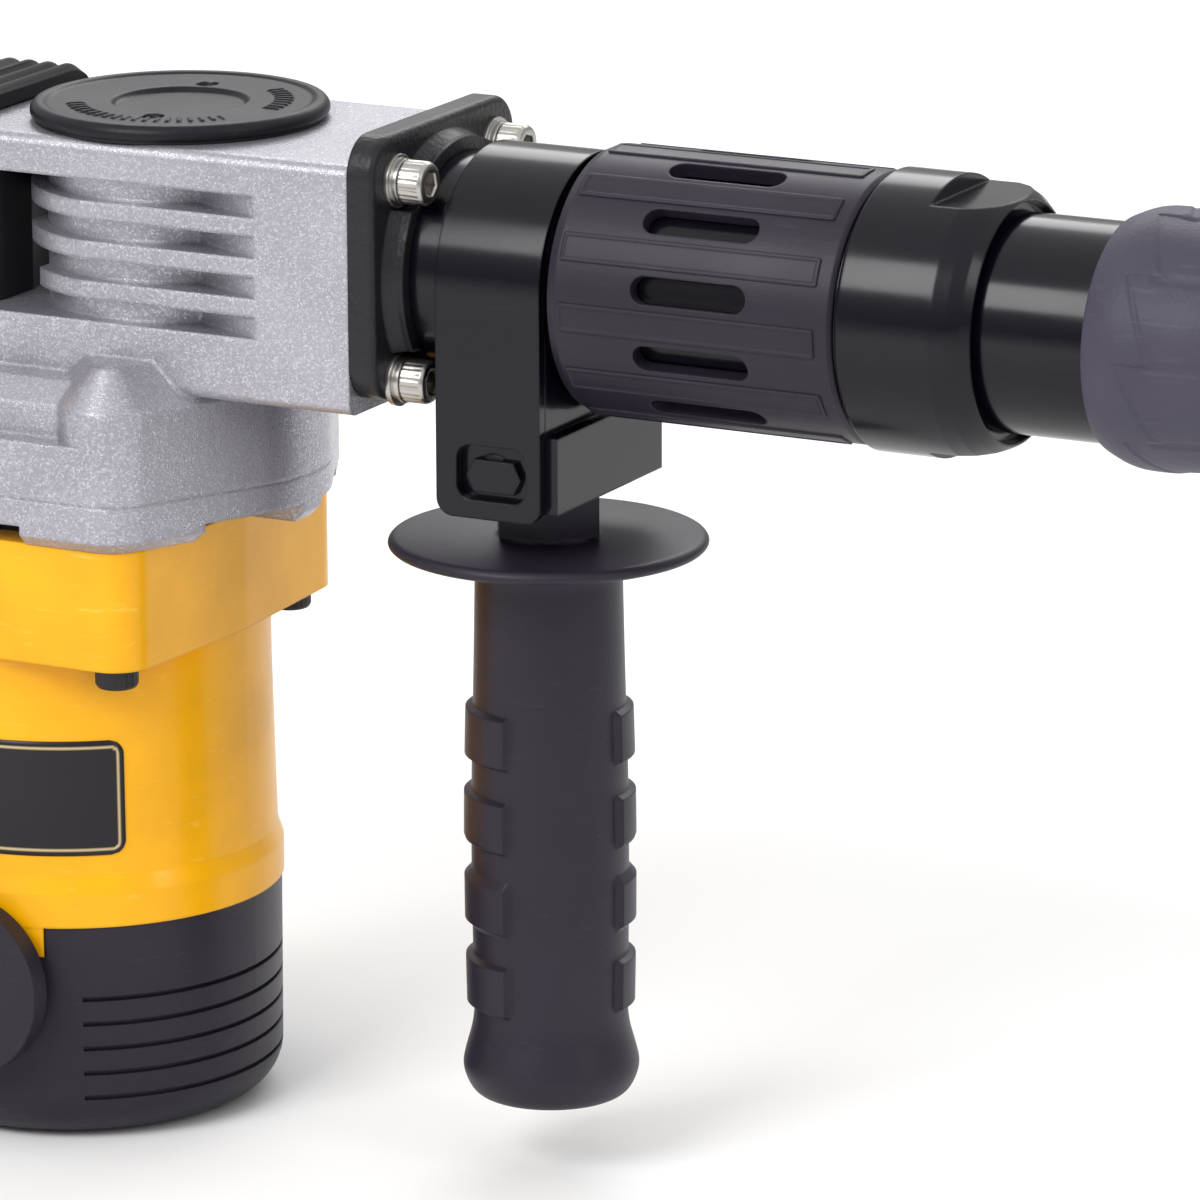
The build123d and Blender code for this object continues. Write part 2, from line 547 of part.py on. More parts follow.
with BuildPart() as gear_housing:
    with BuildSketch(Plane.XY.offset(PLATE_TOP)):
        add(flange_outline(12, 33.5))
    extrude(amount=TIER_LOW - PLATE_TOP)
    with BuildSketch(Plane.XY.offset(TIER_LOW)):
        add(flange_outline(6.5, 33.0))
    extrude(amount=SHOULDER_Z - TIER_LOW)
    with BuildSketch(Plane.XY.offset(SHOULDER_Z)):
        add(flange_outline(6.5, 33.0))
    extrude(amount=5.0, taper=48)
    with BuildSketch(Plane.XY.offset(TIER_LOW)):
        add(front_outline(0))
    extrude(amount=8)
    with BuildSketch(Plane.XY.offset(TIER_LOW + 8)):
        add(front_outline(0))
    with BuildSketch(Plane.XY.offset(TIER_LOW + 17)):
        add(front_outline(8))
    loft(ruled=True)
    # upper block, from the rear face to the barrel
    with BuildSketch(Plane.XY.offset(178)):
        with Locations(((HOUSING_REAR + BLOCK_END) / 2, 0)):
            Rectangle(BLOCK_END - HOUSING_REAR, 2 * BLOCK_HALF)
    extrude(amount=DECK_LOW - 178)
    with BuildSketch(Plane.XY.offset(DECK_LOW)):
        with Locations(((DECK_REAR + BLOCK_END) / 2, 0)):
            Rectangle(BLOCK_END - DECK_REAR, 2 * BLOCK_HALF)
        with Locations(((HOUSING_REAR + DECK_REAR) / 2, 0)):
            Rectangle(DECK_REAR - HOUSING_REAR, 42)
    extrude(amount=DECK_TOP - DECK_LOW)
    block_top = gear_housing.edges().filter_by(Axis.X).group_by(Axis.Z)[-1]
    fillet(block_top, radius=2.6)
    block_bottom = gear_housing.edges().filter_by(Axis.X).filter_by_position(Axis.Z, 177.9, 178.1)
    fillet(block_bottom, radius=3)
    # window behind the crankcase, open to both sides, between lower band and deck
    with BuildSketch(Plane.XY.offset(WINDOW_LOW)):
        with Locations(((HOUSING_REAR - 5 + CRANK_X) / 2, 0)):
            Rectangle(CRANK_X - HOUSING_REAR + 5, 90)
        with Locations((CRANK_X, 0)):
            Circle(FIN_R, mode=Mode.SUBTRACT)
    extrude(amount=DECK_LOW - WINDOW_LOW, mode=Mode.SUBTRACT)
    # cooling slots round the crankcase, each closed in front by a slanting face
    for slot in range(SLOTS):
        with BuildSketch(Plane.XY.offset(WINDOW_LOW + SLOT_PITCH * slot)):
            Polygon((-10, -60), (71, -60), (71, -34), (50, -24), (50, 24), (71, 34), (71, 60), (-10, 60),
                align=None)
            with Locations((CRANK_X, 0)):
                Circle(WALL_R, mode=Mode.SUBTRACT)
        extrude(amount=SLOT, mode=Mode.SUBTRACT)
    # the two lower fins are shorter at the rear than the top one
    for fin, reach in enumerate((9, 3)):
        low = WINDOW_LOW + SLOT + SLOT_PITCH * fin
        with BuildSketch(Plane.XY.offset(low)):
            with Locations((reach / 2 - 5, 0)):
                Rectangle(reach + 10, 90)
            with Locations((CRANK_X, 0)):
                Circle(WALL_R, mode=Mode.SUBTRACT)
        extrude(amount=SLOT_PITCH - SLOT, mode=Mode.SUBTRACT)
    # inside: gear chamber, bearing seat, crankcase, cap thread, bore for the air cylinder
    with BuildSketch(Plane.XY.offset(PLATE_TOP)):
        with Locations((CRANK_X, 0)):
            Circle(28.6)
        Circle(13.5)
    extrude(amount=14, mode=Mode.SUBTRACT)
    with BuildSketch(CRANK_SIDE):
        Polygon(
            (0, 160), (9.5, 160), (9.5, UPPER_CRANK_BEARING), (BEARING_LARGE_R, UPPER_CRANK_BEARING),
            (BEARING_LARGE_R, UPPER_CRANK_BEARING + BEARING_LARGE_H + 1), (CRANKCASE_R, 182),
            (CRANKCASE_R, 222),
            (CAP_BORE, 223), (CAP_BORE, 240), (0, 240), align=None,
        )
    revolve(axis=CRANK_AXIS, mode=Mode.SUBTRACT)
    with BuildSketch(across(CRANK_X + 10)):
        Circle(BARREL_BORE)
    extrude(amount=60, mode=Mode.SUBTRACT)
    with Locations(*[(x, y, 158) for x, y in LOBES]):
        Cylinder(radius=3.0, height=32, mode=Mode.SUBTRACT)
    with BuildSketch(across(BLOCK_END - 18)):
        with Locations((-22.9, -22.5), (22.9, -22.5), (-22.9, 22.5), (22.9, 22.5)):
            Circle(3.0)
    extrude(amount=20, mode=Mode.SUBTRACT)
gear_housing.part.label = "gear_housing"
export_step(gear_housing.part, "parts/gear_housing.step")

# ---- crank cap: screwed cover with a raised rim, a sunk centre and two pin holes for its key
CAP_LOW = DECK_TOP + 0.8
CAP_HIGH = 239.2
with BuildPart() as crank_cap:
    with BuildSketch(CRANK_SIDE):
        Polygon(
            (0, 226.5), (CAP_BORE - 0.1, 226.5), (CAP_BORE - 0.1, CAP_LOW), (34.2, CAP_LOW),
            (34.2, CAP_HIGH - 1.2),
            (33.4, CAP_HIGH), (31.2, CAP_HIGH), (30.4, CAP_HIGH - 0.7), (15.4, CAP_HIGH - 0.5),
            (14.6, CAP_HIGH - 1.6), (0, CAP_HIGH - 1.6), align=None,
        )
    revolve(axis=CRANK_AXIS)
    with BuildSketch(Plane.XY.offset(CAP_HIGH + 1)):
        with Locations((CRANK_X - 4, 19), (CRANK_X + 4, -19)):
            Circle(2.3)
    extrude(amount=-6, mode=Mode.SUBTRACT)
crank_cap.part.label = "crank_cap"
export_step(crank_cap.part, "parts/crank_cap.step")

with BuildPart() as cap_seal:
    with BuildSketch(Plane.XY.offset(DECK_TOP)):
        with Locations((CRANK_X, 0)):
            Circle(33.2)
            Circle(CAP_BORE, mode=Mode.SUBTRACT)
    extrude(amount=CAP_LOW - DECK_TOP)
cap_seal.part.label = "cap_seal"
export_step(cap_seal.part, "parts/cap_seal.step")

# ---- rear cover: black filler behind the crankcase, hollowed to clear its fins
with BuildPart() as rear_cover:
    with BuildSketch(Plane.XY.offset(WINDOW_LOW)):
        with Locations(((HOUSING_REAR - 2) / 2, 0)):
            RectangleRounded(-HOUSING_REAR - 2, 60, 8)
        with Locations((CRANK_X, 0)):
            Circle(FIN_R + 1.0, mode=Mode.SUBTRACT)
    extrude(amount=DECK_LOW - WINDOW_LOW)
rear_cover.part.label = "rear_cover"
export_step(rear_cover.part, "parts/rear_cover.step")

# ================================================================= barrel
SCREW_Y = 22.9
SCREW_Z = 22.5
FLANGE_SCREWS = [(-SCREW_Y, -SCREW_Z), (SCREW_Y, -SCREW_Z), (-SCREW_Y, SCREW_Z), (SCREW_Y, SCREW_Z)]
WASHERS_END = PLATE_FRONT + 2.9

# ---- flange plate: square cast plate, higher than the housing, with a round boss for the barrel
with BuildPart() as barrel_flange:
    with BuildSketch(across(BLOCK_END)):
        with Locations((0, 3)):
            RectangleRounded(2 * BLOCK_HALF, 60, 9)
    extrude(amount=PLATE_FRONT - BLOCK_END)
    fillet(barrel_flange.faces().sort_by(Axis.X)[-1].outer_wire().edges(), radius=1.6)
    with BuildSketch(HAMMER):
        Polygon(
            (PLATE_FRONT - 1, 0), (PLATE_FRONT - 1, 30), (PLATE_FRONT, 30), (PLATE_FRONT + 3, 28.4),
            (PLATE_FRONT + 4.5, 28.4), (PLATE_FRONT + 4.5, 0), align=None,
        )
    revolve(axis=HAMMER_AXIS)
    with BuildSketch(across(BLOCK_END - 1)):
        Circle(BARREL_R + 0.05)
    extrude(amount=30, mode=Mode.SUBTRACT)
    with BuildSketch(across(BLOCK_END - 1)):
        with Locations(*FLANGE_SCREWS):
            Circle(SCREW_HOLE_R)
    extrude(amount=30, mode=Mode.SUBTRACT)
    with BuildSketch(across(PLATE_FRONT)):
        with Locations(*FLANGE_SCREWS):
            Circle(6.6)
    extrude(amount=30, mode=Mode.SUBTRACT)
barrel_flange.part.label = "barrel_flange"
export_step(barrel_flange.part, "parts/barrel_flange.step")

# ---- M6 cap screws: four hold the flange plate, four hold the motor and the bearing plate
MOTOR_HEAD_LOW = FLANGE_SEAT - WASHER - M6_HEAD
with BuildPart() as washers:
    for start, radius, thickness in ((PLATE_FRONT, 6.1, 1.3), (PLATE_FRONT + 1.3, 5.2, 1.6)):
        with BuildSketch(across(start)):
            with Locations(*FLANGE_SCREWS):
                Circle(radius)
            with Locations(*FLANGE_SCREWS):
                Circle(SCREW_R + 0.2, mode=Mode.SUBTRACT)
        extrude(amount=thickness - 0.05)
    with BuildSketch(Plane.XY.offset(FLANGE_SEAT - WASHER)):
        with Locations(*LOBES):
            Circle(5.6)
        with Locations(*LOBES):
            Circle(SCREW_R + 0.2, mode=Mode.SUBTRACT)
    extrude(amount=WASHER)
washers.part.label = "washers"
export_step(washers.part, "parts/washers.step")

with BuildPart() as cap_screws:
    with BuildSketch(across(WASHERS_END)):
        with Locations(*FLANGE_SCREWS):
            Circle(M6_HEAD_R)
    extrude(amount=M6_HEAD)
    with BuildSketch(across(WASHERS_END + M6_HEAD)):
        with Locations(*FLANGE_SCREWS):
            RegularPolygon(radius=M6_SOCKET, side_count=6)
    extrude(amount=-3.2, mode=Mode.SUBTRACT)
    with BuildSketch(across(BLOCK_END - 14)):
        with Locations(*FLANGE_SCREWS):
            Circle(SCREW_R)
    extrude(amount=WASHERS_END - BLOCK_END + 14)
    with Locations(*[(x, y, MOTOR_HEAD_LOW) for x, y in LOBES]):
        Cylinder(radius=M6_HEAD_R, height=M6_HEAD, align=STANDING)
        Cylinder(radius=SCREW_R, height=58, align=STANDING)
    with BuildSketch(Plane.XY.offset(MOTOR_HEAD_LOW)):
        with Locations(*LOBES):
            RegularPolygon(radius=M6_SOCKET, side_count=6)
    extrude(amount=3.2, mode=Mode.SUBTRACT)
cap_screws.part.label = "cap_screws"
export_step(cap_screws.part, "parts/cap_screws.step")

# ---- barrel: plain tube with a threaded front spigot
SPIGOT_R = 26.0
SPIGOT_END = 220.0
with BuildPart() as barrel:
    with BuildSketch(HAMMER):
        Polygon(
            (BLOCK_END, BARREL_BORE), (BLOCK_END, BARREL_R), (142, BARREL_R), (142, 26.4), (208.8, 26.4),
            (209.8, 29.0), (SLEEVE_END + 0.6, 29.0), (SLEEVE_END + 0.6, SPIGOT_R), (SPIGOT_END, SPIGOT_R),
            (SPIGOT_END, BARREL_BORE), align=None,
        )
    revolve(axis=HAMMER_AXIS)
barrel.part.label = "barrel"
export_step(barrel.part, "parts/barrel.step")

# ---- barrel sleeve: twelve slots that show the barrel, low ridges between them
SLOTS_ROUND = 12
SLOT_LENGTH = 28.0
SLOT_WIDTH = 6.2
SLOT_X = 175.8
FIRST_SLOT = 10.3       # degrees above the horizontal on the near side
with BuildPart() as barrel_sleeve:
    with BuildSketch(HAMMER):
        Polygon(
            (SLEEVE_START, 26.7), (SLEEVE_START, 27.4), (SLEEVE_START + 0.8, 29.2),
            (SLEEVE_START + 3, SLEEVE_R),
            (SLEEVE_END - 1, SLEEVE_R), (SLEEVE_END, SLEEVE_R - 0.8), (SLEEVE_END, 29.2), (208.6, 28.6),
            (207.8, 26.7), align=None,
        )
    revolve(axis=HAMMER_AXIS)
    for slot in range(SLOTS_ROUND):
        angle = radians(FIRST_SLOT + 360 / SLOTS_ROUND * slot)
        outward = (0, -cos(angle), sin(angle))
        with BuildSketch(Plane(origin=(SLOT_X, 0, AXIS_Z), x_dir=(1, 0, 0), z_dir=outward)):
            SlotOverall(SLOT_LENGTH, SLOT_WIDTH)
        extrude(amount=40, mode=Mode.SUBTRACT)
barrel_sleeve.part.label = "barrel_sleeve"
export_step(barrel_sleeve.part, "parts/barrel_sleeve.step")

# ---- front collar: screwed on the spigot, holds the tool holder's flange, two spanner flats
FLAT = 27.3
HOLDER_FLANGE_R = 25.9
with BuildPart() as front_collar:
    with BuildSketch(HAMMER):
        Polygon(
            (COLLAR_START, SPIGOT_R + 0.1), (COLLAR_START, COLLAR_R - 0.6), (COLLAR_START + 0.8, COLLAR_R),
            (234, COLLAR_R), (237.5, COLLAR_R - 0.9), (240.2, COLLAR_R - 2.4), (COLLAR_END, COLLAR_R - 4.2),
            (COLLAR_END, 26.6), (COLLAR_END - 2.4, 26.0), (COLLAR_END - 2.4, TUBE_R + 0.15),
            (SPIGOT_END + 7.6, TUBE_R + 0.15), (SPIGOT_END + 7.6, SPIGOT_R + 0.4),
            (SPIGOT_END + 1, SPIGOT_R + 0.4),
            (SPIGOT_END + 1, SPIGOT_R + 0.1), align=None,
        )
    revolve(axis=HAMMER_AXIS)
    with Locations((235.5, 0, AXIS_Z + FLAT + 10), (235.5, 0, AXIS_Z - FLAT - 10)):
        Box(17, 60, 20, mode=Mode.SUBTRACT)
front_collar.part.label = "front_collar"
export_step(front_collar.part, "parts/front_collar.step")

# ================================================================= hammer mechanism
PISTON_FRONT_REACH = 107.5
STRIKER_REAR = 118.0
STRIKER_FRONT = 158.0
ANVIL_REAR = 172.0
ANVIL_FRONT = 238.0
GUIDE_START = 178.2
CYLINDER_START = 62.0
CHAMBER_START = 189.5
CHAMBER_END = 208.6

with BuildPart() as air_cylinder:
    with BuildSketch(HAMMER):
        Polygon(
            (CYLINDER_START, BORE_R), (CYLINDER_START, BARREL_BORE - 0.1),
            (GUIDE_START - 0.1, BARREL_BORE - 0.1),
            (GUIDE_START - 0.1, BORE_R), align=None,
        )
    revolve(axis=HAMMER_AXIS)
    for x in (PISTON_FRONT_REACH + 4, 166):
        with BuildSketch(Plane.XY.offset(AXIS_Z)):
            with Locations((x, 0)):
                Circle(1.6)
        extrude(amount=30, mode=Mode.SUBTRACT)
air_cylinder.part.label = "air_cylinder"
export_step(air_cylinder.part, "parts/air_cylinder.step")

with BuildPart() as striker:
    with BuildSketch(HAMMER):
        Polygon(
            (STRIKER_REAR, 0), (STRIKER_REAR, PISTON_R - 1), (STRIKER_REAR + 1, PISTON_R), (132, PISTON_R),
            (132, PISTON_R - 2), (136, PISTON_R - 2), (136, PISTON_R), (144, PISTON_R), (148, 11.5),
            (STRIKER_FRONT, 11.0), (STRIKER_FRONT, 0), align=None,
        )
    revolve(axis=HAMMER_AXIS)
striker.part.label = "striker"
export_step(striker.part, "parts/striker.step")

with BuildPart() as striker_ring:
    with BuildSketch(HAMMER):
        with Locations((134, PISTON_R - 1)):
            Rectangle(3.8, 1.9)
    revolve(axis=HAMMER_AXIS)
striker_ring.part.label = "striker_ring"
export_step(striker_ring.part, "parts/striker_ring.step")

with BuildPart() as anvil_guide:
    with BuildSketch(HAMMER):
        Polygon(
            (GUIDE_START, 12 + FIT), (GUIDE_START, BARREL_BORE - 0.1), (CHAMBER_END, BARREL_BORE - 0.1),
            (CHAMBER_END, 14.6), (CHAMBER_START, 14.6), (CHAMBER_START, 12 + FIT), align=None,
        )
    revolve(axis=HAMMER_AXIS)
anvil_guide.part.label = "anvil_guide"
export_step(anvil_guide.part, "parts/anvil_guide.step")

with BuildPart() as damper_ring:
    with BuildSketch(HAMMER):
        Polygon(
            (CHAMBER_END, 12.6), (CHAMBER_END, BARREL_BORE - 0.1), (SPIGOT_END, BARREL_BORE - 0.1),
            (SPIGOT_END, 12.6), align=None,
        )
    revolve(axis=HAMMER_AXIS)
damper_ring.part.label = "damper_ring"
export_step(damper_ring.part, "parts/damper_ring.step")

with BuildPart() as anvil:
    with BuildSketch(HAMMER):
        Polygon(
            (ANVIL_REAR, 0), (ANVIL_REAR, 9), (ANVIL_REAR + 2, 12), (190, 12), (190, 14.2), (200, 14.2),
            (200, 12),
            (226, 12), (229, 8.6), (ANVIL_FRONT, 8.6), (ANVIL_FRONT, 0), align=None,
        )
    revolve(axis=HAMMER_AXIS)
anvil.part.label = "anvil"
export_step(anvil.part, "parts/anvil.step")

# ================================================================= tool holder and nose
HOLDER_END = 300.0
NECK_R = 20.0
NECK_START = 276.0
ROLLER_X = 271.6
with BuildPart() as tool_holder:
    with BuildSketch(HAMMER):
        Polygon(
            (SPIGOT_END + 0.2, 12 + FIT), (SPIGOT_END + 0.2, HOLDER_FLANGE_R),
            (SPIGOT_END + 7.4, HOLDER_FLANGE_R),
            (SPIGOT_END + 7.4, TUBE_R), (NECK_START, TUBE_R), (NECK_START, NECK_R), (HOLDER_END, NECK_R),
            (HOLDER_END, TOOL_R + 1), (HOLDER_END - 1, TOOL_R), (246, TOOL_R), (243, 12 + FIT), align=None,
        )
    revolve(axis=HAMMER_AXIS)
    with BuildSketch(Plane.XZ):
        with Locations((ROLLER_X, AXIS_Z)):
            RectangleRounded(7.2, 7.6, 0.6)
    extrude(amount=40, both=True, mode=Mode.SUBTRACT)
tool_holder.part.label = "tool_holder"
export_step(tool_holder.part, "parts/tool_holder.step")

with BuildPart() as locking_rollers:
    for side in (-1, 1):
        with Locations(Location((ROLLER_X, side * 15.6, AXIS_Z), (0, 90, 0))):
            Cylinder(radius=3.5, height=6.4)
locking_rollers.part.label = "locking_rollers"
export_step(locking_rollers.part, "parts/locking_rollers.step")

SEAT_X = 292.0
NOSE_BORE = TUBE_R + GAP
with BuildPart() as nose_sleeve:
    with BuildSketch(HAMMER):
        Polygon(
            (NOSE_START + 0.6, NOSE_BORE), (NOSE_START, NOSE_BORE + 0.6), (NOSE_START, NOSE_R - 3.4),
            (NOSE_START + 1.5, NOSE_R - 1.8), (NOSE_START + 4, NOSE_R - 0.6), (NOSE_START + 7.5, NOSE_R),
            (NOSE_END - 8, NOSE_R - 0.9), (NOSE_END - 2, NOSE_R - 2.4), (NOSE_END, NOSE_R - 4.2),
            (NOSE_END, NOSE_BORE + 0.6), (SEAT_X + 4, NOSE_BORE), (SEAT_X + 4, NECK_R + GAP),
            (SEAT_X, NECK_R + GAP),
            (SEAT_X, NOSE_BORE), align=None,
        )
    revolve(axis=HAMMER_AXIS)
nose_sleeve.part.label = "nose_sleeve"
export_step(nose_sleeve.part, "parts/nose_sleeve.step")

with BuildPart() as sleeve_spring:
    SPRING_TURNS = 3
    for turn in range(SPRING_TURNS):
        with BuildSketch(HAMMER):
            with Locations((NECK_START + 2.2 + turn * (SEAT_X - NECK_START - 4.4) / (SPRING_TURNS - 1),
                22.3)):
                Circle(0.9)
        revolve(axis=HAMMER_AXIS)
sleeve_spring.part.label = "sleeve_spring"
export_step(sleeve_spring.part, "parts/sleeve_spring.step")

with BuildPart() as retainer_ring:
    with BuildSketch(HAMMER):
        Polygon(
            (SEAT_X + 4.3, NECK_R), (SEAT_X + 4.3, 22.6), (SEAT_X + 5.9, 22.6), (SEAT_X + 5.9, NECK_R),
            align=None,
        )
    revolve(axis=HAMMER_AXIS)
retainer_ring.part.label = "retainer_ring"
export_step(retainer_ring.part, "parts/retainer_ring.step")

with BuildPart() as nose_cap:
    with BuildSketch(HAMMER):
        Polygon(
            (SEAT_X + 6.2, NECK_R), (SEAT_X + 6.2, 23.4), (NOSE_END - 0.5, 23.4), (304, 20.4), (305, 16.5),
            (305, 10.4), (304, TOOL_R + 0.6), (HOLDER_END, TOOL_R + 0.6), (HOLDER_END, NECK_R), align=None,
        )
    revolve(axis=HAMMER_AXIS)
nose_cap.part.label = "nose_cap"
export_step(nose_cap.part, "parts/nose_cap.step")

# ================================================================= side handle
STRAP_START = 112.5
STRAP_END = 138.5
STRAP_BORE = BARREL_R + GAP
BLOCK_END_X = 141.4
BLOCK_BOTTOM = AXIS_Z - 49.0
BOLT_Z = AXIS_Z - 40.5

# ---- strap: steel band over the barrel with two straight legs, their lower corners round
with BuildPart() as clamp_strap:
    with BuildSketch(across(STRAP_START)):
        Circle(STRAP_R)
        with Locations((0, -25.5)):
            Rectangle(2 * STRAP_R, 51)
        Circle(STRAP_BORE, mode=Mode.SUBTRACT)
        with Locations((0, -26)):
            Rectangle(2 * STRAP_BORE, 52, mode=Mode.SUBTRACT)
    extrude(amount=STRAP_END - STRAP_START)
    fillet(clamp_strap.edges().filter_by(Axis.Y).group_by(Axis.Z)[0], radius=4)
    for side in (-1, 1):
        with BuildSketch(side_plane(side * STRAP_R)):
            with Locations((HANDLE_X + 0.6, BOLT_Z)):
                RectangleRounded(17.5, 12.5, 3.5)
        extrude(amount=5, both=True, mode=Mode.SUBTRACT)
clamp_strap.part.label = "clamp_strap"
export_step(clamp_strap.part, "parts/clamp_strap.step")

# ---- block: fills the space between the legs, hollowed for the barrel, with a lip in front
with BuildPart() as clamp_block:
    with Locations(((STRAP_START + STRAP_END) / 2, 0, (BLOCK_BOTTOM + AXIS_Z) / 2 - 4)):
        Box(STRAP_END - STRAP_START, 2 * STRAP_BORE - 0.2, AXIS_Z - BLOCK_BOTTOM - 8)
    with Locations(((STRAP_END + BLOCK_END_X) / 2, 0, (BLOCK_BOTTOM + AXIS_Z - 31.5) / 2)):
        Box(BLOCK_END_X - STRAP_END, 2 * STRAP_BORE - 0.2, AXIS_Z - 31.5 - BLOCK_BOTTOM)
    with BuildSketch(across(100)):
        Circle(STRAP_BORE)
    extrude(amount=38.5, mode=Mode.SUBTRACT)
    with Locations(Location((HANDLE_X, 0, BOLT_Z), (90, 0, 0))):
        Cylinder(radius=4, height=70, mode=Mode.SUBTRACT)
    with Locations((HANDLE_X, 0, BLOCK_BOTTOM)):
        Cylinder(radius=4.0 + FIT, height=9.0, mode=Mode.SUBTRACT)
clamp_block.part.label = "clamp_block"
export_step(clamp_block.part, "parts/clamp_block.step")

# ---- two cross bolts with flat hexagon heads hold the legs to the block, sunk in the legs
with BuildPart() as clamp_bolts:
    for side in (-1, 1):
        head = Plane(origin=(HANDLE_X, side * (STRAP_BORE - 0.1), BOLT_Z), x_dir=(1, 0, 0),
            z_dir=(0, side, 0))
        with BuildSketch(head):
            with Locations((0.6, 0.9 * side)):
                Polygon(
                    (-6.8, 0), (-5, -3.7), (5, -3.7), (6.8, 0), (5, 3.7), (-5, 3.7), align=None,
                )
        extrude(amount=1.7)
        with BuildSketch(head):
            Circle(3.95)
        extrude(amount=-14)
clamp_bolts.part.label = "clamp_bolts"
export_step(clamp_bolts.part, "parts/clamp_bolts.step")

# ---- grip: hexagon hub, wide hand guard, waisted grip with rows of raised pads, round end knob
HUB_TOP = BLOCK_BOTTOM - GAP
GUARD_TOP = AXIS_Z - 60.4
GUARD_R = 36.5
GRIP_LOW = AXIS_Z - 192.0
PAD_ROWS = 4
PAD_PITCH = 19.5
PAD_HEIGHT = 12.3
FIRST_PAD_TOP = AXIS_Z - 100.0
with BuildPart() as grip:
    with BuildSketch(GRIP_SIDE):
        with BuildLine():
            Polyline(
                (0, GRIP_LOW + 3), (0, GUARD_TOP), (30, GUARD_TOP), (GUARD_R - 0.8, GUARD_TOP - 0.6),
                (GUARD_R, GUARD_TOP - 1.6), (GUARD_R - 0.6, GUARD_TOP - 2.8), (20, GUARD_TOP - 4.0),
                (16.8, GUARD_TOP - 6.6),
            )
            Spline(
                (16.8, GUARD_TOP - 6.6), (17.3, AXIS_Z - 85), (18.0, AXIS_Z - 125), (17.8, AXIS_Z - 155),
                (17.4, AXIS_Z - 174), (19.2, AXIS_Z - 181.5), (20.4, AXIS_Z - 185.6),
            )
            RadiusArc((20.4, AXIS_Z - 185.6), (15.5, GRIP_LOW), 5.4)
            Polyline((15.5, GRIP_LOW), (12.5, GRIP_LOW), (10.5, GRIP_LOW + 3), (0, GRIP_LOW + 3))
        make_face()
    revolve(axis=HANDLE_AXIS)
    with BuildSketch(Plane.XY.offset(GUARD_TOP)):
        with Locations((HANDLE_X, 0)):
            RegularPolygon(radius=13, side_count=6)
    extrude(amount=HUB_TOP - GUARD_TOP)
    for side in (-50 - 90 - 45.5, 130 - 90 - 45.5):
        for row in range(PAD_ROWS):
            a = radians(side)
            start = Plane(origin=(HANDLE_X, 0, 0), x_dir=(cos(a), sin(a), 0), z_dir=(sin(a), -cos(a), 0))
            top = FIRST_PAD_TOP - PAD_PITCH * row
            with BuildSketch(start):
                with Locations((16.9, top - PAD_HEIGHT / 2)):
                    Rectangle(3.8, PAD_HEIGHT)
            revolve(axis=HANDLE_AXIS, revolution_arc=91)
    with Locations((HANDLE_X, 0, HUB_TOP - 14)):
        Cylinder(radius=4.0, height=50, mode=Mode.SUBTRACT)
grip.part.label = "grip"
export_step(grip.part, "parts/grip.step")

with BuildPart() as grip_stud:
    with BuildSketch(GRIP_SIDE):
        Polygon(
            (0, HUB_TOP - 38), (4, HUB_TOP - 38), (4, BLOCK_BOTTOM + 3.2), (3.2, BLOCK_BOTTOM + 4),
            (0, BLOCK_BOTTOM + 4),
            align=None,
        )
    revolve(axis=HANDLE_AXIS)
grip_stud.part.label = "grip_stud"
export_step(grip_stud.part, "parts/grip_stud.step")

# ================================================================= rear handle
HANDLE_FRONT = -32.0
HANDLE_BACK = -137.0
GRIP_FRONT = -105.0
ARM_LOW = 203.0
ARM_TOP = 240.0
SHELL_LOW = 62.0
ARM_HALF = 27.0
GRIP_HALF = 17.0
WALL = 3.0

# ---- bellows: closes the gap between the deck and the rear handle
with BuildPart() as bellows:
    with BuildSketch(across(HANDLE_FRONT + 0.4)):
        with Locations((0, 8.5)):
            RectangleRounded(56, 47, 9)
        with Locations((0, 8.5)):
            RectangleRounded(49, 40, 6, mode=Mode.SUBTRACT)
    extrude(amount=HOUSING_REAR - 0.4 - HANDLE_FRONT - 0.4)
    with BuildSketch(across(HOUSING_REAR - 0.4)):
        with Locations((0, 8.5)):
            RectangleRounded(56, 47, 9)
        with Locations((0, 5.5)):
            Rectangle(70, 43.4, mode=Mode.SUBTRACT)
    extrude(amount=DECK_REAR - 0.4 - HOUSING_REAR + 0.4)
bellows.part.label = "bellows"
export_step(bellows.part, "parts/bellows.step")

# ---- fork: two round ears on the pivot, a half ring round the end cap, a foot under the grip
FORK_BORE = 49.4
FORK_R = 54.6
EAR_R = 21.0
with BuildPart() as handle_fork:
    with BuildSketch(Plane.XY.offset(PIVOT_Z - 12)):
        Circle(FORK_R)
        with Locations((-90, 0)):
            Rectangle(92, 2 * GRIP_HALF)
        Circle(FORK_BORE, mode=Mode.SUBTRACT)
        with Locations((60, 0)):
            Rectangle(120, 140, mode=Mode.SUBTRACT)
    extrude(amount=24)
    for side in (-1, 1):
        with Locations(Location((0, side * 51.9, PIVOT_Z), (90, 0, 0))):
            Cylinder(radius=EAR_R, height=5.4)
    with BuildSketch(Plane.XY.offset(PIVOT_Z + 12)):
        with Locations((-121, 0)):
            Rectangle(30, 2 * GRIP_HALF)
    extrude(amount=SHELL_LOW - PIVOT_Z - 12)
    fillet(handle_fork.edges().filter_by(Axis.Z).group_by(Axis.X)[0], radius=7)
    with Locations(Location((0, 0, PIVOT_Z), (90, 0, 0))):
        Cylinder(radius=5 + FIT, height=106.4, mode=Mode.SUBTRACT)
    with Locations((-121, 0, 40)):
        Cylinder(radius=9, height=60, mode=Mode.SUBTRACT)
handle_fork.part.label = "handle_fork"
export_step(handle_fork.part, "parts/handle_fork.step")

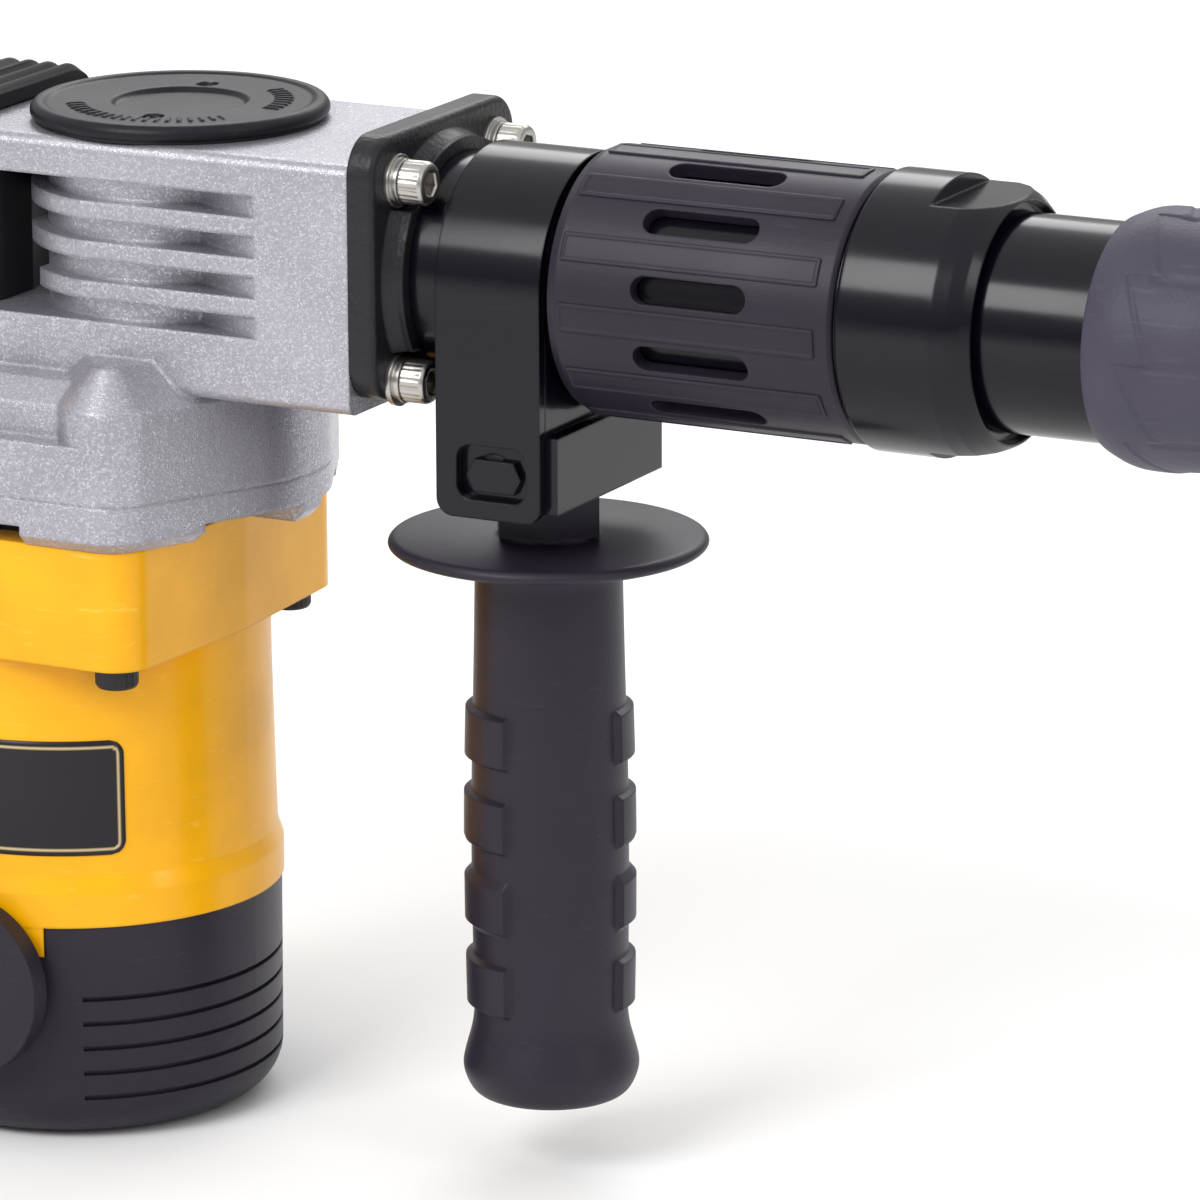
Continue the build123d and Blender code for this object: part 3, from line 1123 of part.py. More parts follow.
with BuildPart() as handle_pivot_pins:
    for side in (-1, 1):
        with Locations(Location((0, side * 45.6, PIVOT_Z), (90, 0, 0))):
            Cylinder(radius=5.0, height=14)
handle_pivot_pins.part.label = "handle_pivot_pins"
export_step(handle_pivot_pins.part, "parts/handle_pivot_pins.step")

# ---- two half shells: arm over the housing and the grip behind it
ARM_POINTS = [
    (HANDLE_FRONT, ARM_LOW), (HANDLE_FRONT, ARM_TOP), (-60, ARM_TOP + 1.2), (-100, ARM_TOP - 1),
    (-124, ARM_TOP - 9),
    (-134, 216), (HANDLE_BACK, 190), (HANDLE_BACK, 120), (-134, SHELL_LOW), (GRIP_FRONT - 1, SHELL_LOW),
    (GRIP_FRONT - 1, 90), (GRIP_FRONT - 2, 120), (GRIP_FRONT, 160), (-98, 190), (-84, ARM_LOW - 1),
]
PLAN_POINTS = [
    (HANDLE_FRONT, ARM_HALF), (-60, ARM_HALF - 2), (-98, GRIP_HALF), (HANDLE_BACK - 1, GRIP_HALF),
    (HANDLE_BACK - 1, -GRIP_HALF), (-98, -GRIP_HALF), (-60, 2 - ARM_HALF), (HANDLE_FRONT, -ARM_HALF),
]
HANDLE_SCREWS = [(-48, 216), (-92, 226), (-129, 204), (-129, 88)]
TRIGGER_Z = 166.0
BUTTON_X = -122.0
BUTTON_Z = 184.0
GLAND_X = -121.0


def handle_shell(side):
    """One half of the handle, side -1 or 1: a side view cut with a plan view, hollow, open at the joint."""
    with BuildPart(mode=Mode.PRIVATE) as shell:
        with BuildSketch(Plane.XZ):
            Polygon(*ARM_POINTS, align=None)
        extrude(amount=-side * (ARM_HALF + 1))
        with BuildSketch(Plane.XY.offset(SHELL_LOW - 1)):
            Polygon(*PLAN_POINTS, align=None)
        extrude(amount=200, mode=Mode.INTERSECT)
        with BuildSketch(Plane.XZ):
            Polygon(*ARM_POINTS, align=None)
            offset(amount=-WALL, kind=Kind.INTERSECTION)
        extrude(amount=-side * (GRIP_HALF - WALL), mode=Mode.SUBTRACT)
        for x, z in HANDLE_SCREWS:
            with Locations(Location((x, side * 7.5, z), (90, 0, 0))):
                Cylinder(radius=5.4, height=15)
            with Locations(Location((x, 0, z), (90, 0, 0))):
                Cylinder(radius=2.1, height=25, mode=Mode.SUBTRACT)
            if side > 0:
                with Locations(Location((x, 12 + 10, z), (90, 0, 0))):
                    Cylinder(radius=4.2, height=20, mode=Mode.SUBTRACT)
        with Locations((GRIP_FRONT + 2, 0, TRIGGER_Z), (GLAND_X, 0, SHELL_LOW)):
            Box(16, 18, 45, mode=Mode.SUBTRACT)
        if side < 0:
            with Locations(Location((BUTTON_X, -GRIP_HALF, BUTTON_Z), (90, 0, 0))):
                Cylinder(radius=5.4, height=12, mode=Mode.SUBTRACT)
    return shell.part


for name, side in (("handle_left", -1), ("handle_right", 1)):
    half = handle_shell(side)
    half.label = name
    export_step(half, f"parts/{name}.step")

with BuildPart() as handle_screws:
    for x, z in HANDLE_SCREWS:
        with Locations(Location((x, 0, z), (90, 0, 0))):
            Cylinder(radius=2.0, height=24)
        with Locations(Location((x, 13.2, z), (90, 0, 0))):
            Cylinder(radius=4.0, height=2.4)
            Cylinder(radius=1.3, height=10, mode=Mode.SUBTRACT)
handle_screws.part.label = "handle_screws"
export_step(handle_screws.part, "parts/handle_screws.step")

# ---- soft pad on the back of the grip
with BuildPart() as grip_pad:
    with BuildSketch(Plane.XZ):
        Polygon(
            (HANDLE_BACK - 0.05, 188), (HANDLE_BACK - 0.05, 120), (-134.75, 76), (-137.2, 79),
            (-140, 122), (-140, 184), align=None,
        )
    extrude(amount=13, both=True)
grip_pad.part.label = "grip_pad"
export_step(grip_pad.part, "parts/grip_pad.step")

# ---- switch, trigger, lock button
SWITCH_FRONT = -119.5
TRIGGER_BACK = -112.0
TRIGGER_FRONT = -96.5
with BuildPart() as switch_body:
    with Locations((SWITCH_FRONT - 6, 0, TRIGGER_Z)):
        Box(12, 16, 32)
switch_body.part.label = "switch_body"
export_step(switch_body.part, "parts/switch_body.step")

with BuildPart() as trigger:
    with BuildSketch(Plane.XZ):
        Polygon(
            (TRIGGER_BACK, TRIGGER_Z - 18), (TRIGGER_BACK, TRIGGER_Z + 18),
            (TRIGGER_FRONT - 5, TRIGGER_Z + 18),
            (TRIGGER_FRONT - 0.5, TRIGGER_Z + 13), (TRIGGER_FRONT - 2, TRIGGER_Z),
            (TRIGGER_FRONT, TRIGGER_Z - 14), (TRIGGER_FRONT - 4, TRIGGER_Z - 18), align=None,
        )
    extrude(amount=7, both=True)
    fillet(trigger.faces().sort_by(Axis.X)[-2:].edges().filter_by(Axis.Z, reverse=True), radius=1.2)
trigger.part.label = "trigger"
export_step(trigger.part, "parts/trigger.step")

with BuildPart() as lock_button:
    with Locations(Location((BUTTON_X, -16.0, BUTTON_Z), (90, 0, 0))):
        Cylinder(radius=5.0, height=8)
    with Locations(Location((BUTTON_X, -12.8, BUTTON_Z), (90, 0, 0))):
        Cylinder(radius=6.6, height=1.6)
    fillet(lock_button.edges().sort_by(Axis.Y)[0], radius=1)
lock_button.part.label = "lock_button"
export_step(lock_button.part, "parts/lock_button.step")

# ---- damper spring between housing and rear handle, and the bush where the mains lead goes in
with BuildPart() as damper_spring:
    for turn in range(4):
        with BuildSketch(Plane(origin=(0, 0, 213), x_dir=(1, 0, 0), z_dir=(0, -1, 0))):
            with Locations((HANDLE_FRONT + 1.6 + 2.9 * turn, 8)):
                Circle(1.1)
        revolve(axis=Axis((0, 0, 213), (1, 0, 0)))
damper_spring.part.label = "damper_spring"
export_step(damper_spring.part, "parts/damper_spring.step")

GLAND_BORE = 4.2
with BuildPart() as cord_gland:
    with BuildSketch(Plane(origin=(GLAND_X, 0, 0), x_dir=(1, 0, 0), z_dir=(0, -1, 0))):
        Polygon(
            (GLAND_BORE, 19), (8.2, 19), (10.4, 22.4), (10.4, 26), (8.9, 26), (8.9, 57),
            (GLAND_BORE, 57), align=None,
        )
    revolve(axis=Axis((GLAND_X, 0, 0), (0, 0, 1)))
cord_gland.part.label = "cord_gland"
export_step(cord_gland.part, "parts/cord_gland.step")
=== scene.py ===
"""Looks of a demolition hammer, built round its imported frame.

Lengths are metres. +X runs along the hammer axis to the nose, +Z is up, and the origin is on the
motor axis at the underside of the motor's end cap.
"""
import json
from math import cos, pi, radians, sin

import bpy
import numpy as np
from bpy.props import FloatProperty, FloatVectorProperty, IntProperty, PointerProperty
from mathutils import Matrix, Vector


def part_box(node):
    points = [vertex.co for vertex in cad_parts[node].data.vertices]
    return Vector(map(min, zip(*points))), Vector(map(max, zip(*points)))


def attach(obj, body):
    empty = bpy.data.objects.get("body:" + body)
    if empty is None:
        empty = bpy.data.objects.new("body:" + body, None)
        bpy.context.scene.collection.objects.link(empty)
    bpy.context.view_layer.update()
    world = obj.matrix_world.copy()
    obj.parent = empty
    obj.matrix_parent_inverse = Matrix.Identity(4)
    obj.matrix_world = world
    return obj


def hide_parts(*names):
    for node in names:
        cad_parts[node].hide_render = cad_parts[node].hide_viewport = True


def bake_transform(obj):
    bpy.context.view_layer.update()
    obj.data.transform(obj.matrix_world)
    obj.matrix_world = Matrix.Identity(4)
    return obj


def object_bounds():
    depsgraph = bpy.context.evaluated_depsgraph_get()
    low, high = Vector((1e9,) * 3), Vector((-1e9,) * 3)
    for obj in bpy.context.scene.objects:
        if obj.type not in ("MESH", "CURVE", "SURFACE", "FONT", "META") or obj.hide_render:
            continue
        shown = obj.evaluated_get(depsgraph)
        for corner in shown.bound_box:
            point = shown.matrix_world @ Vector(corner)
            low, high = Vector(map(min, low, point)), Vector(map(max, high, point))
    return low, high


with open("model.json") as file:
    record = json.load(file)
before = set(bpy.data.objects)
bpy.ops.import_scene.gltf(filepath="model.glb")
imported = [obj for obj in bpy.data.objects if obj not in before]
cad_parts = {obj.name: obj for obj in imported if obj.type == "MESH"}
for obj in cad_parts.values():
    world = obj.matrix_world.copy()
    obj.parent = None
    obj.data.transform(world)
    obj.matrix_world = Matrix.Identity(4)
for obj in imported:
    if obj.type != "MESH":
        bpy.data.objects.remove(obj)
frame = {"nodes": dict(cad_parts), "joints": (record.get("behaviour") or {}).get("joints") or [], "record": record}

bl_info = {
    "name": "Demolition hammer looks",
    "version": (1, 0, 0),
    "blender": (4, 5, 0),
    "location": "View3D > Sidebar > Hammer",
    "description": "Builds the visible pieces, finishes and stage of a demolition hammer",
    "category": "Object",
}

CAD_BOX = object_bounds()
NODES = frame["nodes"]
MOUNTS = {mount["name"]: mount["pos_m"] for mount in frame["record"]["mounts"]}
JOINTS = {joint["name"]: joint for joint in frame["joints"]}
AXIS_Z = MOUNTS["tool_bore"][2]
HANDLE_X = JOINTS["grip_twist"]["pos_m"][0]
CRANK_X = JOINTS["crank_spin"]["pos_m"][0]
SEAM_ANGLE = radians(34)


# ------------------------------------------------------------------ profiles and grids
def rounded(corners, steps=6):
    """Profile through corners (along, across, fillet).

    Each inner corner is replaced by a quadratic curve (1-t)^2 a + 2t(1-t) c + t^2 b, where a and b
    lie one fillet away from the corner c on its two runs, or half a run where that is shorter.
    """
    corners = np.asarray(corners, float)
    t = np.linspace(0, 1, steps)[:, None]
    points = [corners[:1, :2]]
    for before, here, after in zip(corners[:-2], corners[1:-1], corners[2:]):
        c, back, ahead = here[:2], before[:2] - here[:2], after[:2] - here[:2]
        a = c + back * min(0.5, here[2] / np.linalg.norm(back))
        b = c + ahead * min(0.5, here[2] / np.linalg.norm(ahead))
        points.append((1 - t) ** 2 * a + 2 * t * (1 - t) * c + t**2 * b)
    points.append(corners[-1:, :2])
    return np.vstack(points)


def divided(profile, step):
    """The same profile with extra points, so that no two are further apart than step."""
    run = np.concatenate([[0], np.cumsum(np.linalg.norm(np.diff(profile, axis=0), axis=1))])
    marks = np.concatenate([run, np.arange(0, run[-1], step)])
    marks = np.unique(np.round(marks, 6))
    return np.column_stack([np.interp(marks, run, profile[:, k]) for k in range(2)])


def ramp(value, low, high):
    """Smooth step: 0 below low, 1 above high, 3t^2 - 2t^3 between."""
    t = np.clip((value - low) / (high - low), 0, 1)
    return t * t * (3 - 2 * t)


def band(value, low, high, edge):
    """1 between low and high, falling smoothly to 0 over edge on both sides."""
    rise = ramp(value, low - edge / 2, low + edge / 2)
    return rise * (1 - ramp(value, high - edge / 2, high + edge / 2))


def ripple(angle):
    """Wave that runs from 0, at a whole turn, to 1, at half a turn: (1 - cos angle) / 2."""
    return 0.5 - 0.5 * np.cos(angle)


def turned(along, radius, angle, centre, axis, first):
    """Point = centre + axis * along + radius * (first * cos(angle) + second * sin(angle))."""
    axis, first = np.asarray(axis, float), np.asarray(first, float)
    second = np.cross(axis, first)
    out = np.cos(angle)[..., None] * first + np.sin(angle)[..., None] * second
    return np.asarray(centre) + along[..., None] * axis + radius[..., None] * out


def closed_grid(grid, loop=False):
    """Points and faces of a grid whose columns close on themselves.

    Its rows close too if loop is set, and otherwise its first and last rows are closed by fans.
    """
    rows, columns = grid.shape[:2]
    index = np.arange(rows * columns).reshape(rows, columns)
    low = index if loop else index[:-1]
    high = np.roll(index, -1, 0) if loop else index[1:]
    quads = np.stack([low, np.roll(low, -1, 1), np.roll(high, -1, 1), high], -1).reshape(-1, 4)
    points = grid.reshape(-1, 3)
    faces = [quads]
    if not loop:
        points = np.vstack([points, grid[0].mean(0), grid[-1].mean(0)])
        for row, pole, turn in ((index[0], rows * columns, 1), (index[-1], rows * columns + 1, -1)):
            fan = np.stack([np.full(columns, pole), np.roll(row, -1), row], -1)
            faces.append(fan[:, ::turn])
    return outward(points, faces)


def two_sided(front, back):
    """Points and faces of a closed sheet: two grids of one shape, joined along their borders."""
    rows, columns = front.shape[:2]
    count = rows * columns
    index = np.arange(count).reshape(rows, columns)
    quads = np.stack([index[:-1, :-1], index[:-1, 1:], index[1:, 1:], index[1:, :-1]], -1).reshape(-1, 4)
    edge = np.concatenate([index[0, :-1], index[:-1, -1], index[-1, :0:-1], index[:0:-1, 0]])
    after = np.roll(edge, -1)
    wall = np.stack([after, edge, edge + count, after + count], -1)
    points = np.vstack([front.reshape(-1, 3), back.reshape(-1, 3)])
    return outward(points, [quads, quads[:, ::-1] + count, wall])


def outward(points, faces):
    """The same shell with its faces turned round if its signed volume is negative."""
    corners = [(f[:, 0], f[:, k], f[:, k + 1]) for f in faces for k in range(1, f.shape[1] - 1)]
    centred = points - points.mean(0)
    volume = sum(
        np.einsum("ij,ij->i", centred[a], np.cross(centred[b], centred[c])).sum() for a, b, c in corners
    )
    if volume < 0:
        faces = [f[:, ::-1] for f in faces]
    return points, faces


def piece(name, shells, material, body, replaces=(), rim=None):
    """One object from closed shells, smooth but for sharp seams, riding on a body."""
    points = np.vstack([s[0] for s in shells])
    faces, start = [], 0
    for shell_points, shell_faces in shells:
        for f in shell_faces:
            faces += (f + start).tolist()
        start += len(shell_points)
    mesh = bpy.data.meshes.new(name)
    mesh.from_pydata(points.tolist(), [], faces)
    mesh.polygons.foreach_set("use_smooth", np.ones(len(mesh.polygons), bool))
    mesh.set_sharp_from_angle(angle=SEAM_ANGLE)
    if rim is not None:
        mesh.attributes.new("rim", "FLOAT", "POINT").data.foreach_set("value", rim.astype(np.float32))
    mesh.materials.append(material)
    mesh.update()
    obj = bpy.data.objects.new(name, mesh)
    bpy.context.scene.collection.objects.link(obj)
    if body:
        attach(obj, body)
    if replaces:
        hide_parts(*replaces)
    return obj


def outline(half_u, half_v, corner, inset, columns):
    """Closed outline of a rounded rectangle drawn in by inset.

    Each quarter turn is its corner's centre plus the corner radius times (cos, sin), and two points
    stand on each straight side.
    """
    u, v = max(half_u - inset, 1e-4), max(half_v - inset, 1e-4)
    r = min(max(corner - inset, 1e-5), u, v)
    quarter = np.linspace(0, pi / 2, columns // 4 - 2)
    turns = [quarter + k * pi / 2 for k in range(4)]
    centres = [(u - r, v - r), (r - u, v - r), (r - u, r - v), (u - r, r - v)]
    ring = []
    for k, (turn, (cu, cv)) in enumerate(zip(turns, centres)):
        arc = np.column_stack([cu + r * np.cos(turn), cv + r * np.sin(turn)])
        nu, nv = centres[(k + 1) % 4]
        end = (k + 1) * pi / 2
        following = np.array([nu + r * cos(end), nv + r * sin(end)])
        side = arc[-1] + (following - arc[-1]) * np.array([[1 / 3], [2 / 3]])
        ring += [arc, side]
    return np.vstack(ring)


def plate(place, half_u, half_v, corner, steps, columns):
    """A closed plate with rounded corners, laid on a surface.

    place(u, v, height) gives the points; steps lists (inset, height) from its hidden underside,
    up its edge and over its face.
    """
    rows = []
    for inset, height in steps:
        u, v = outline(half_u, half_v, corner, inset, columns).T
        rows.append(place(u, v, height))
    return closed_grid(np.stack(rows))


# ------------------------------------------------------------------ node groups and finishes
HANDLING_SCALE = 28.0
PATCH_SHADE, SCUFF_SHARE, SPECK_GLOSS = 0.82, 0.35, 0.25
COAT_ROUGHNESS = 0.12
MILLIMETRE = 0.001


def node_group(name, inputs, outputs):
    """An empty shader group with float or vector inputs and float outputs."""
    tree = bpy.data.node_groups.new(name, "ShaderNodeTree")
    for socket, kind, value in inputs:
        made = tree.interface.new_socket(name=socket, in_out="INPUT", socket_type=kind)
        if value is not None:
            made.default_value = value
    for socket in outputs:
        tree.interface.new_socket(name=socket, in_out="OUTPUT", socket_type="NodeSocketFloat")
    return tree, tree.nodes.new("NodeGroupInput"), tree.nodes.new("NodeGroupOutput")


def math_node(tree, operation, first, second=None):
    """A Math node; first and second are sockets or numbers."""
    node = tree.nodes.new("ShaderNodeMath")
    node.operation = operation
    for socket, value in zip(node.inputs, (first, second)):
        if isinstance(value, (int, float)):
            socket.default_value = value
        elif value is not None:
            tree.links.new(value, socket)
    return node.outputs[0]


def make_grain_group():
    """Fine surface grain: noise at Scale plus half of it at a third of Scale, and sparse specks."""
    tree, source, result = node_group(
        "surface_grain",
        [("Vector", "NodeSocketVector", None), ("Scale", "NodeSocketFloat", 900.0)],
        ["Height", "Speck"],
    )
    fine, broad = tree.nodes.new("ShaderNodeTexNoise"), tree.nodes.new("ShaderNodeTexNoise")
    cells = tree.nodes.new("ShaderNodeTexVoronoi")
    for node in (fine, broad, cells):
        tree.links.new(source.outputs["Vector"], node.inputs["Vector"])
    fine.inputs["Detail"].default_value = 3.0
    tree.links.new(source.outputs["Scale"], fine.inputs["Scale"])
    tree.links.new(source.outputs["Scale"], cells.inputs["Scale"])
    tree.links.new(math_node(tree, "DIVIDE", source.outputs["Scale"], 3.0), broad.inputs["Scale"])
    half_broad = math_node(tree, "MULTIPLY", broad.outputs[0], 0.5)
    tree.links.new(math_node(tree, "ADD", fine.outputs[0], half_broad), result.inputs["Height"])
    split = tree.nodes.new("ShaderNodeSeparateColor")
    tree.links.new(cells.outputs["Color"], split.inputs[0])
    tree.links.new(math_node(tree, "POWER", split.outputs[0], 3.0), result.inputs["Speck"])
    return tree


def make_handling_group():
    """Marks left by handling: patches and thin scuffs, each a noise spread to run from 0 to 1."""
    tree, source, result = node_group(
        "handling_marks",
        [("Vector", "NodeSocketVector", None), ("Scale", "NodeSocketFloat", HANDLING_SCALE)],
        ["Patch", "Scuff"],
    )
    stretched = tree.nodes.new("ShaderNodeVectorMath")
    stretched.operation = "MULTIPLY"
    stretched.inputs[1].default_value = (0.35, 1.0, 2.6)
    broad, streaks = tree.nodes.new("ShaderNodeTexNoise"), tree.nodes.new("ShaderNodeTexNoise")
    broad.inputs["Detail"].default_value = 4.0
    streaks.inputs["Detail"].default_value = 6.0
    tree.links.new(source.outputs["Vector"], broad.inputs["Vector"])
    tree.links.new(source.outputs["Scale"], broad.inputs["Scale"])
    tree.links.new(source.outputs["Vector"], stretched.inputs[0])
    tree.links.new(stretched.outputs[0], streaks.inputs["Vector"])
    tree.links.new(math_node(tree, "MULTIPLY", source.outputs["Scale"], 9.0), streaks.inputs["Scale"])
    for noise, low, high, name in ((broad, 0.35, 0.65, "Patch"), (streaks, 0.62, 0.74, "Scuff")):
        spread = tree.nodes.new("ShaderNodeMapRange")
        spread.inputs["From Min"].default_value = low
        spread.inputs["From Max"].default_value = high
        tree.links.new(noise.outputs[0], spread.inputs["Value"])
        tree.links.new(spread.outputs[0], result.inputs[name])
    return tree


def mix_colour(tree, factor, first, second):
    """A colour mix; first and second are sockets or colours."""
    node = tree.nodes.new("ShaderNodeMix")
    node.data_type = "RGBA"
    tree.links.new(factor, node.inputs[0])
    for socket, value in ((node.inputs[6], first), (node.inputs[7], second)):
        if isinstance(value, bpy.types.NodeSocket):
            tree.links.new(value, socket)
        else:
            socket.default_value = (*value, 1.0)
    return node.outputs[2]


def finish(name, colour, roughness, metallic=0.0, coat=0.0, grain=900.0, depth=0.02,
           speck=0.0, worn=None, patch=0.06, edge=0.0006, rings=None, rim=None, specular=0.3):
    """A procedural finish.

    Colour darkens in patches, runs towards worn in scuffs and brightens on specks. Roughness varies
    by patch in the patches. Depth is the grain's height in millimetres, edge rounds the shading of
    sharp edges, rings is (axis, lines per metre, depth) for turned or stacked metal, and rim is the
    colour of a marked rim.
    """
    groups = bpy.data.node_groups
    material = bpy.data.materials.new(name)
    if material.name != name:
        raise RuntimeError(f"the frame already has a material named {name}")
    material.use_nodes = True
    tree = material.node_tree
    shader = tree.nodes["Principled BSDF"]
    where = tree.nodes.new("ShaderNodeTexCoord").outputs["Object"]
    placed = {}
    for group, scale in (("surface_grain", grain), ("handling_marks", HANDLING_SCALE)):
        placed[group] = tree.nodes.new("ShaderNodeGroup")
        placed[group].node_tree = groups[group]
        placed[group].inputs["Scale"].default_value = scale
        tree.links.new(where, placed[group].inputs["Vector"])
    grains, marks = placed["surface_grain"].outputs, placed["handling_marks"].outputs
    base = mix_colour(tree, marks["Patch"], colour, tuple(PATCH_SHADE * c for c in colour))
    if worn:
        base = mix_colour(tree, math_node(tree, "MULTIPLY", marks["Scuff"], SCUFF_SHARE), base, worn)
    if speck:
        bright = tuple(min(1.0, c * 1.5 + 0.04) for c in colour)
        base = mix_colour(tree, math_node(tree, "MULTIPLY", grains["Speck"], speck), base, bright)
    if rim:
        marked = tree.nodes.new("ShaderNodeAttribute")
        marked.attribute_name = "rim"
        base = mix_colour(tree, marked.outputs["Fac"], base, rim)
    tree.links.new(base, shader.inputs["Base Color"])
    handled = math_node(tree, "MULTIPLY", marks["Patch"], patch)
    rough = math_node(tree, "ADD", handled, roughness - patch / 2)
    if speck:
        glint = math_node(tree, "MULTIPLY", grains["Speck"], speck * SPECK_GLOSS)
        rough = math_node(tree, "SUBTRACT", rough, glint)
    tree.links.new(rough, shader.inputs["Roughness"])
    shader.inputs["Metallic"].default_value = metallic
    shader.inputs["Specular IOR Level"].default_value = specular
    shader.inputs["Coat Weight"].default_value = coat
    shader.inputs["Coat Roughness"].default_value = COAT_ROUGHNESS
    soft = tree.nodes.new("ShaderNodeBevel")
    soft.samples = 4
    soft.inputs["Radius"].default_value = edge
    height = math_node(tree, "MULTIPLY", grains["Height"], depth)
    if rings:
        axis, per_metre, ring_depth = rings
        split = tree.nodes.new("ShaderNodeSeparateXYZ")
        tree.links.new(where, split.inputs[0])
        turns = math_node(tree, "MULTIPLY", split.outputs[axis], per_metre * 2 * pi)
        wave = math_node(tree, "MULTIPLY", math_node(tree, "SINE", turns), ring_depth)
        height = math_node(tree, "ADD", height, wave)
    bump = tree.nodes.new("ShaderNodeBump")
    bump.inputs["Strength"].default_value = 1.0
    bump.inputs["Distance"].default_value = MILLIMETRE
    tree.links.new(height, bump.inputs["Height"])
    tree.links.new(soft.outputs[0], bump.inputs["Normal"])
    tree.links.new(bump.outputs[0], shader.inputs["Normal"])
    return material


# ------------------------------------------------------------------ settings
class HammerSizes(bpy.types.PropertyGroup):
    """Sizes of the hammer's detail."""

    pad_height: FloatProperty(
        name="Grip pad height", description="How far the side grip's pads stand out",
        default=0.0017, unit="LENGTH")
    panel_height: FloatProperty(
        name="Sleeve panel height", description="How far the barrel sleeve's panels stand out",
        default=0.00045, unit="LENGTH")
    knurls: IntProperty(
        name="Screw knurls", description="Ridges round a cap screw's head", default=24)
    cap_marks: IntProperty(
        name="Cap marks", description="Even raised strokes in a full turn of the crank cap", default=60)


class HammerColours(bpy.types.PropertyGroup):
    """Colours of the hammer's main finishes."""

    shell: FloatVectorProperty(
        name="Shells", description="Motor housing and rear handle",
        default=(1.0, 0.47, 0.0), subtype="COLOR")
    plastic: FloatVectorProperty(
        name="Plastic", description="End cap, side grip and barrel sleeve",
        default=(0.020, 0.016, 0.027), subtype="COLOR")
    casting: FloatVectorProperty(
        name="Casting", description="Gear housing", default=(0.40, 0.39, 0.43), subtype="COLOR")
    enamel: FloatVectorProperty(
        name="Enamel", description="Barrel, strap and collar",
        default=(0.003, 0.0025, 0.006), subtype="COLOR")


class StageSettings(bpy.types.PropertyGroup):
    """Light and floor."""

    key_power: FloatProperty(
        name="Key light", description="Power of the main soft light", default=16.0, unit="POWER")
    world: FloatProperty(
        name="Surroundings", description="Brightness of the surroundings overhead", default=0.95)


class HammerOperator(bpy.types.Operator):
    """Shared parts of the operators."""

    bl_options = {"REGISTER", "UNDO"}

    def sizes(self, context):
        return context.scene.hammer_sizes

    def finish_of(self, name):
        return bpy.data.materials[name]


# ------------------------------------------------------------------ finishes on the frame
FINISH_OF_NODE = {
    "sand_casting": ["gear_housing", "bearing_plate"],
    "shell_yellow": ["motor_housing"],
    "satin_plastic": ["motor_end_cap", "barrel_sleeve", "handle_fork", "trigger", "lock_button"],
    "cover_plastic": ["rear_cover", "switch_body"],
    "rough_casting": ["barrel_flange"],
    "gloss_enamel": ["barrel", "front_collar", "tool_holder", "clamp_strap", "clamp_block", "clamp_bolts"],
    "zinc_plate": ["washers", "handle_screws", "grip_stud"],
    "soft_rubber": ["cap_seal", "cord_gland", "damper_ring", "piston_ring", "striker_ring", "nose_cap"],
    "bright_steel": [
        "air_cylinder", "anvil", "anvil_guide", "armature_shaft", "ball_bearings", "connecting_rod",
        "crank_gear", "crank_pin", "crank_shaft", "handle_pivot_pins", "locking_rollers", "piston",
        "retainer_ring", "striker", "wrist_pin"],
    "stacked_iron": ["stator_core", "armature_core"],
    "wound_copper": ["stator_coils", "armature_windings", "commutator"],
    "drawn_brass": ["brush_holders"],
    "pressed_carbon": ["carbon_brushes"],
    "fan_nylon": ["fan"],
}


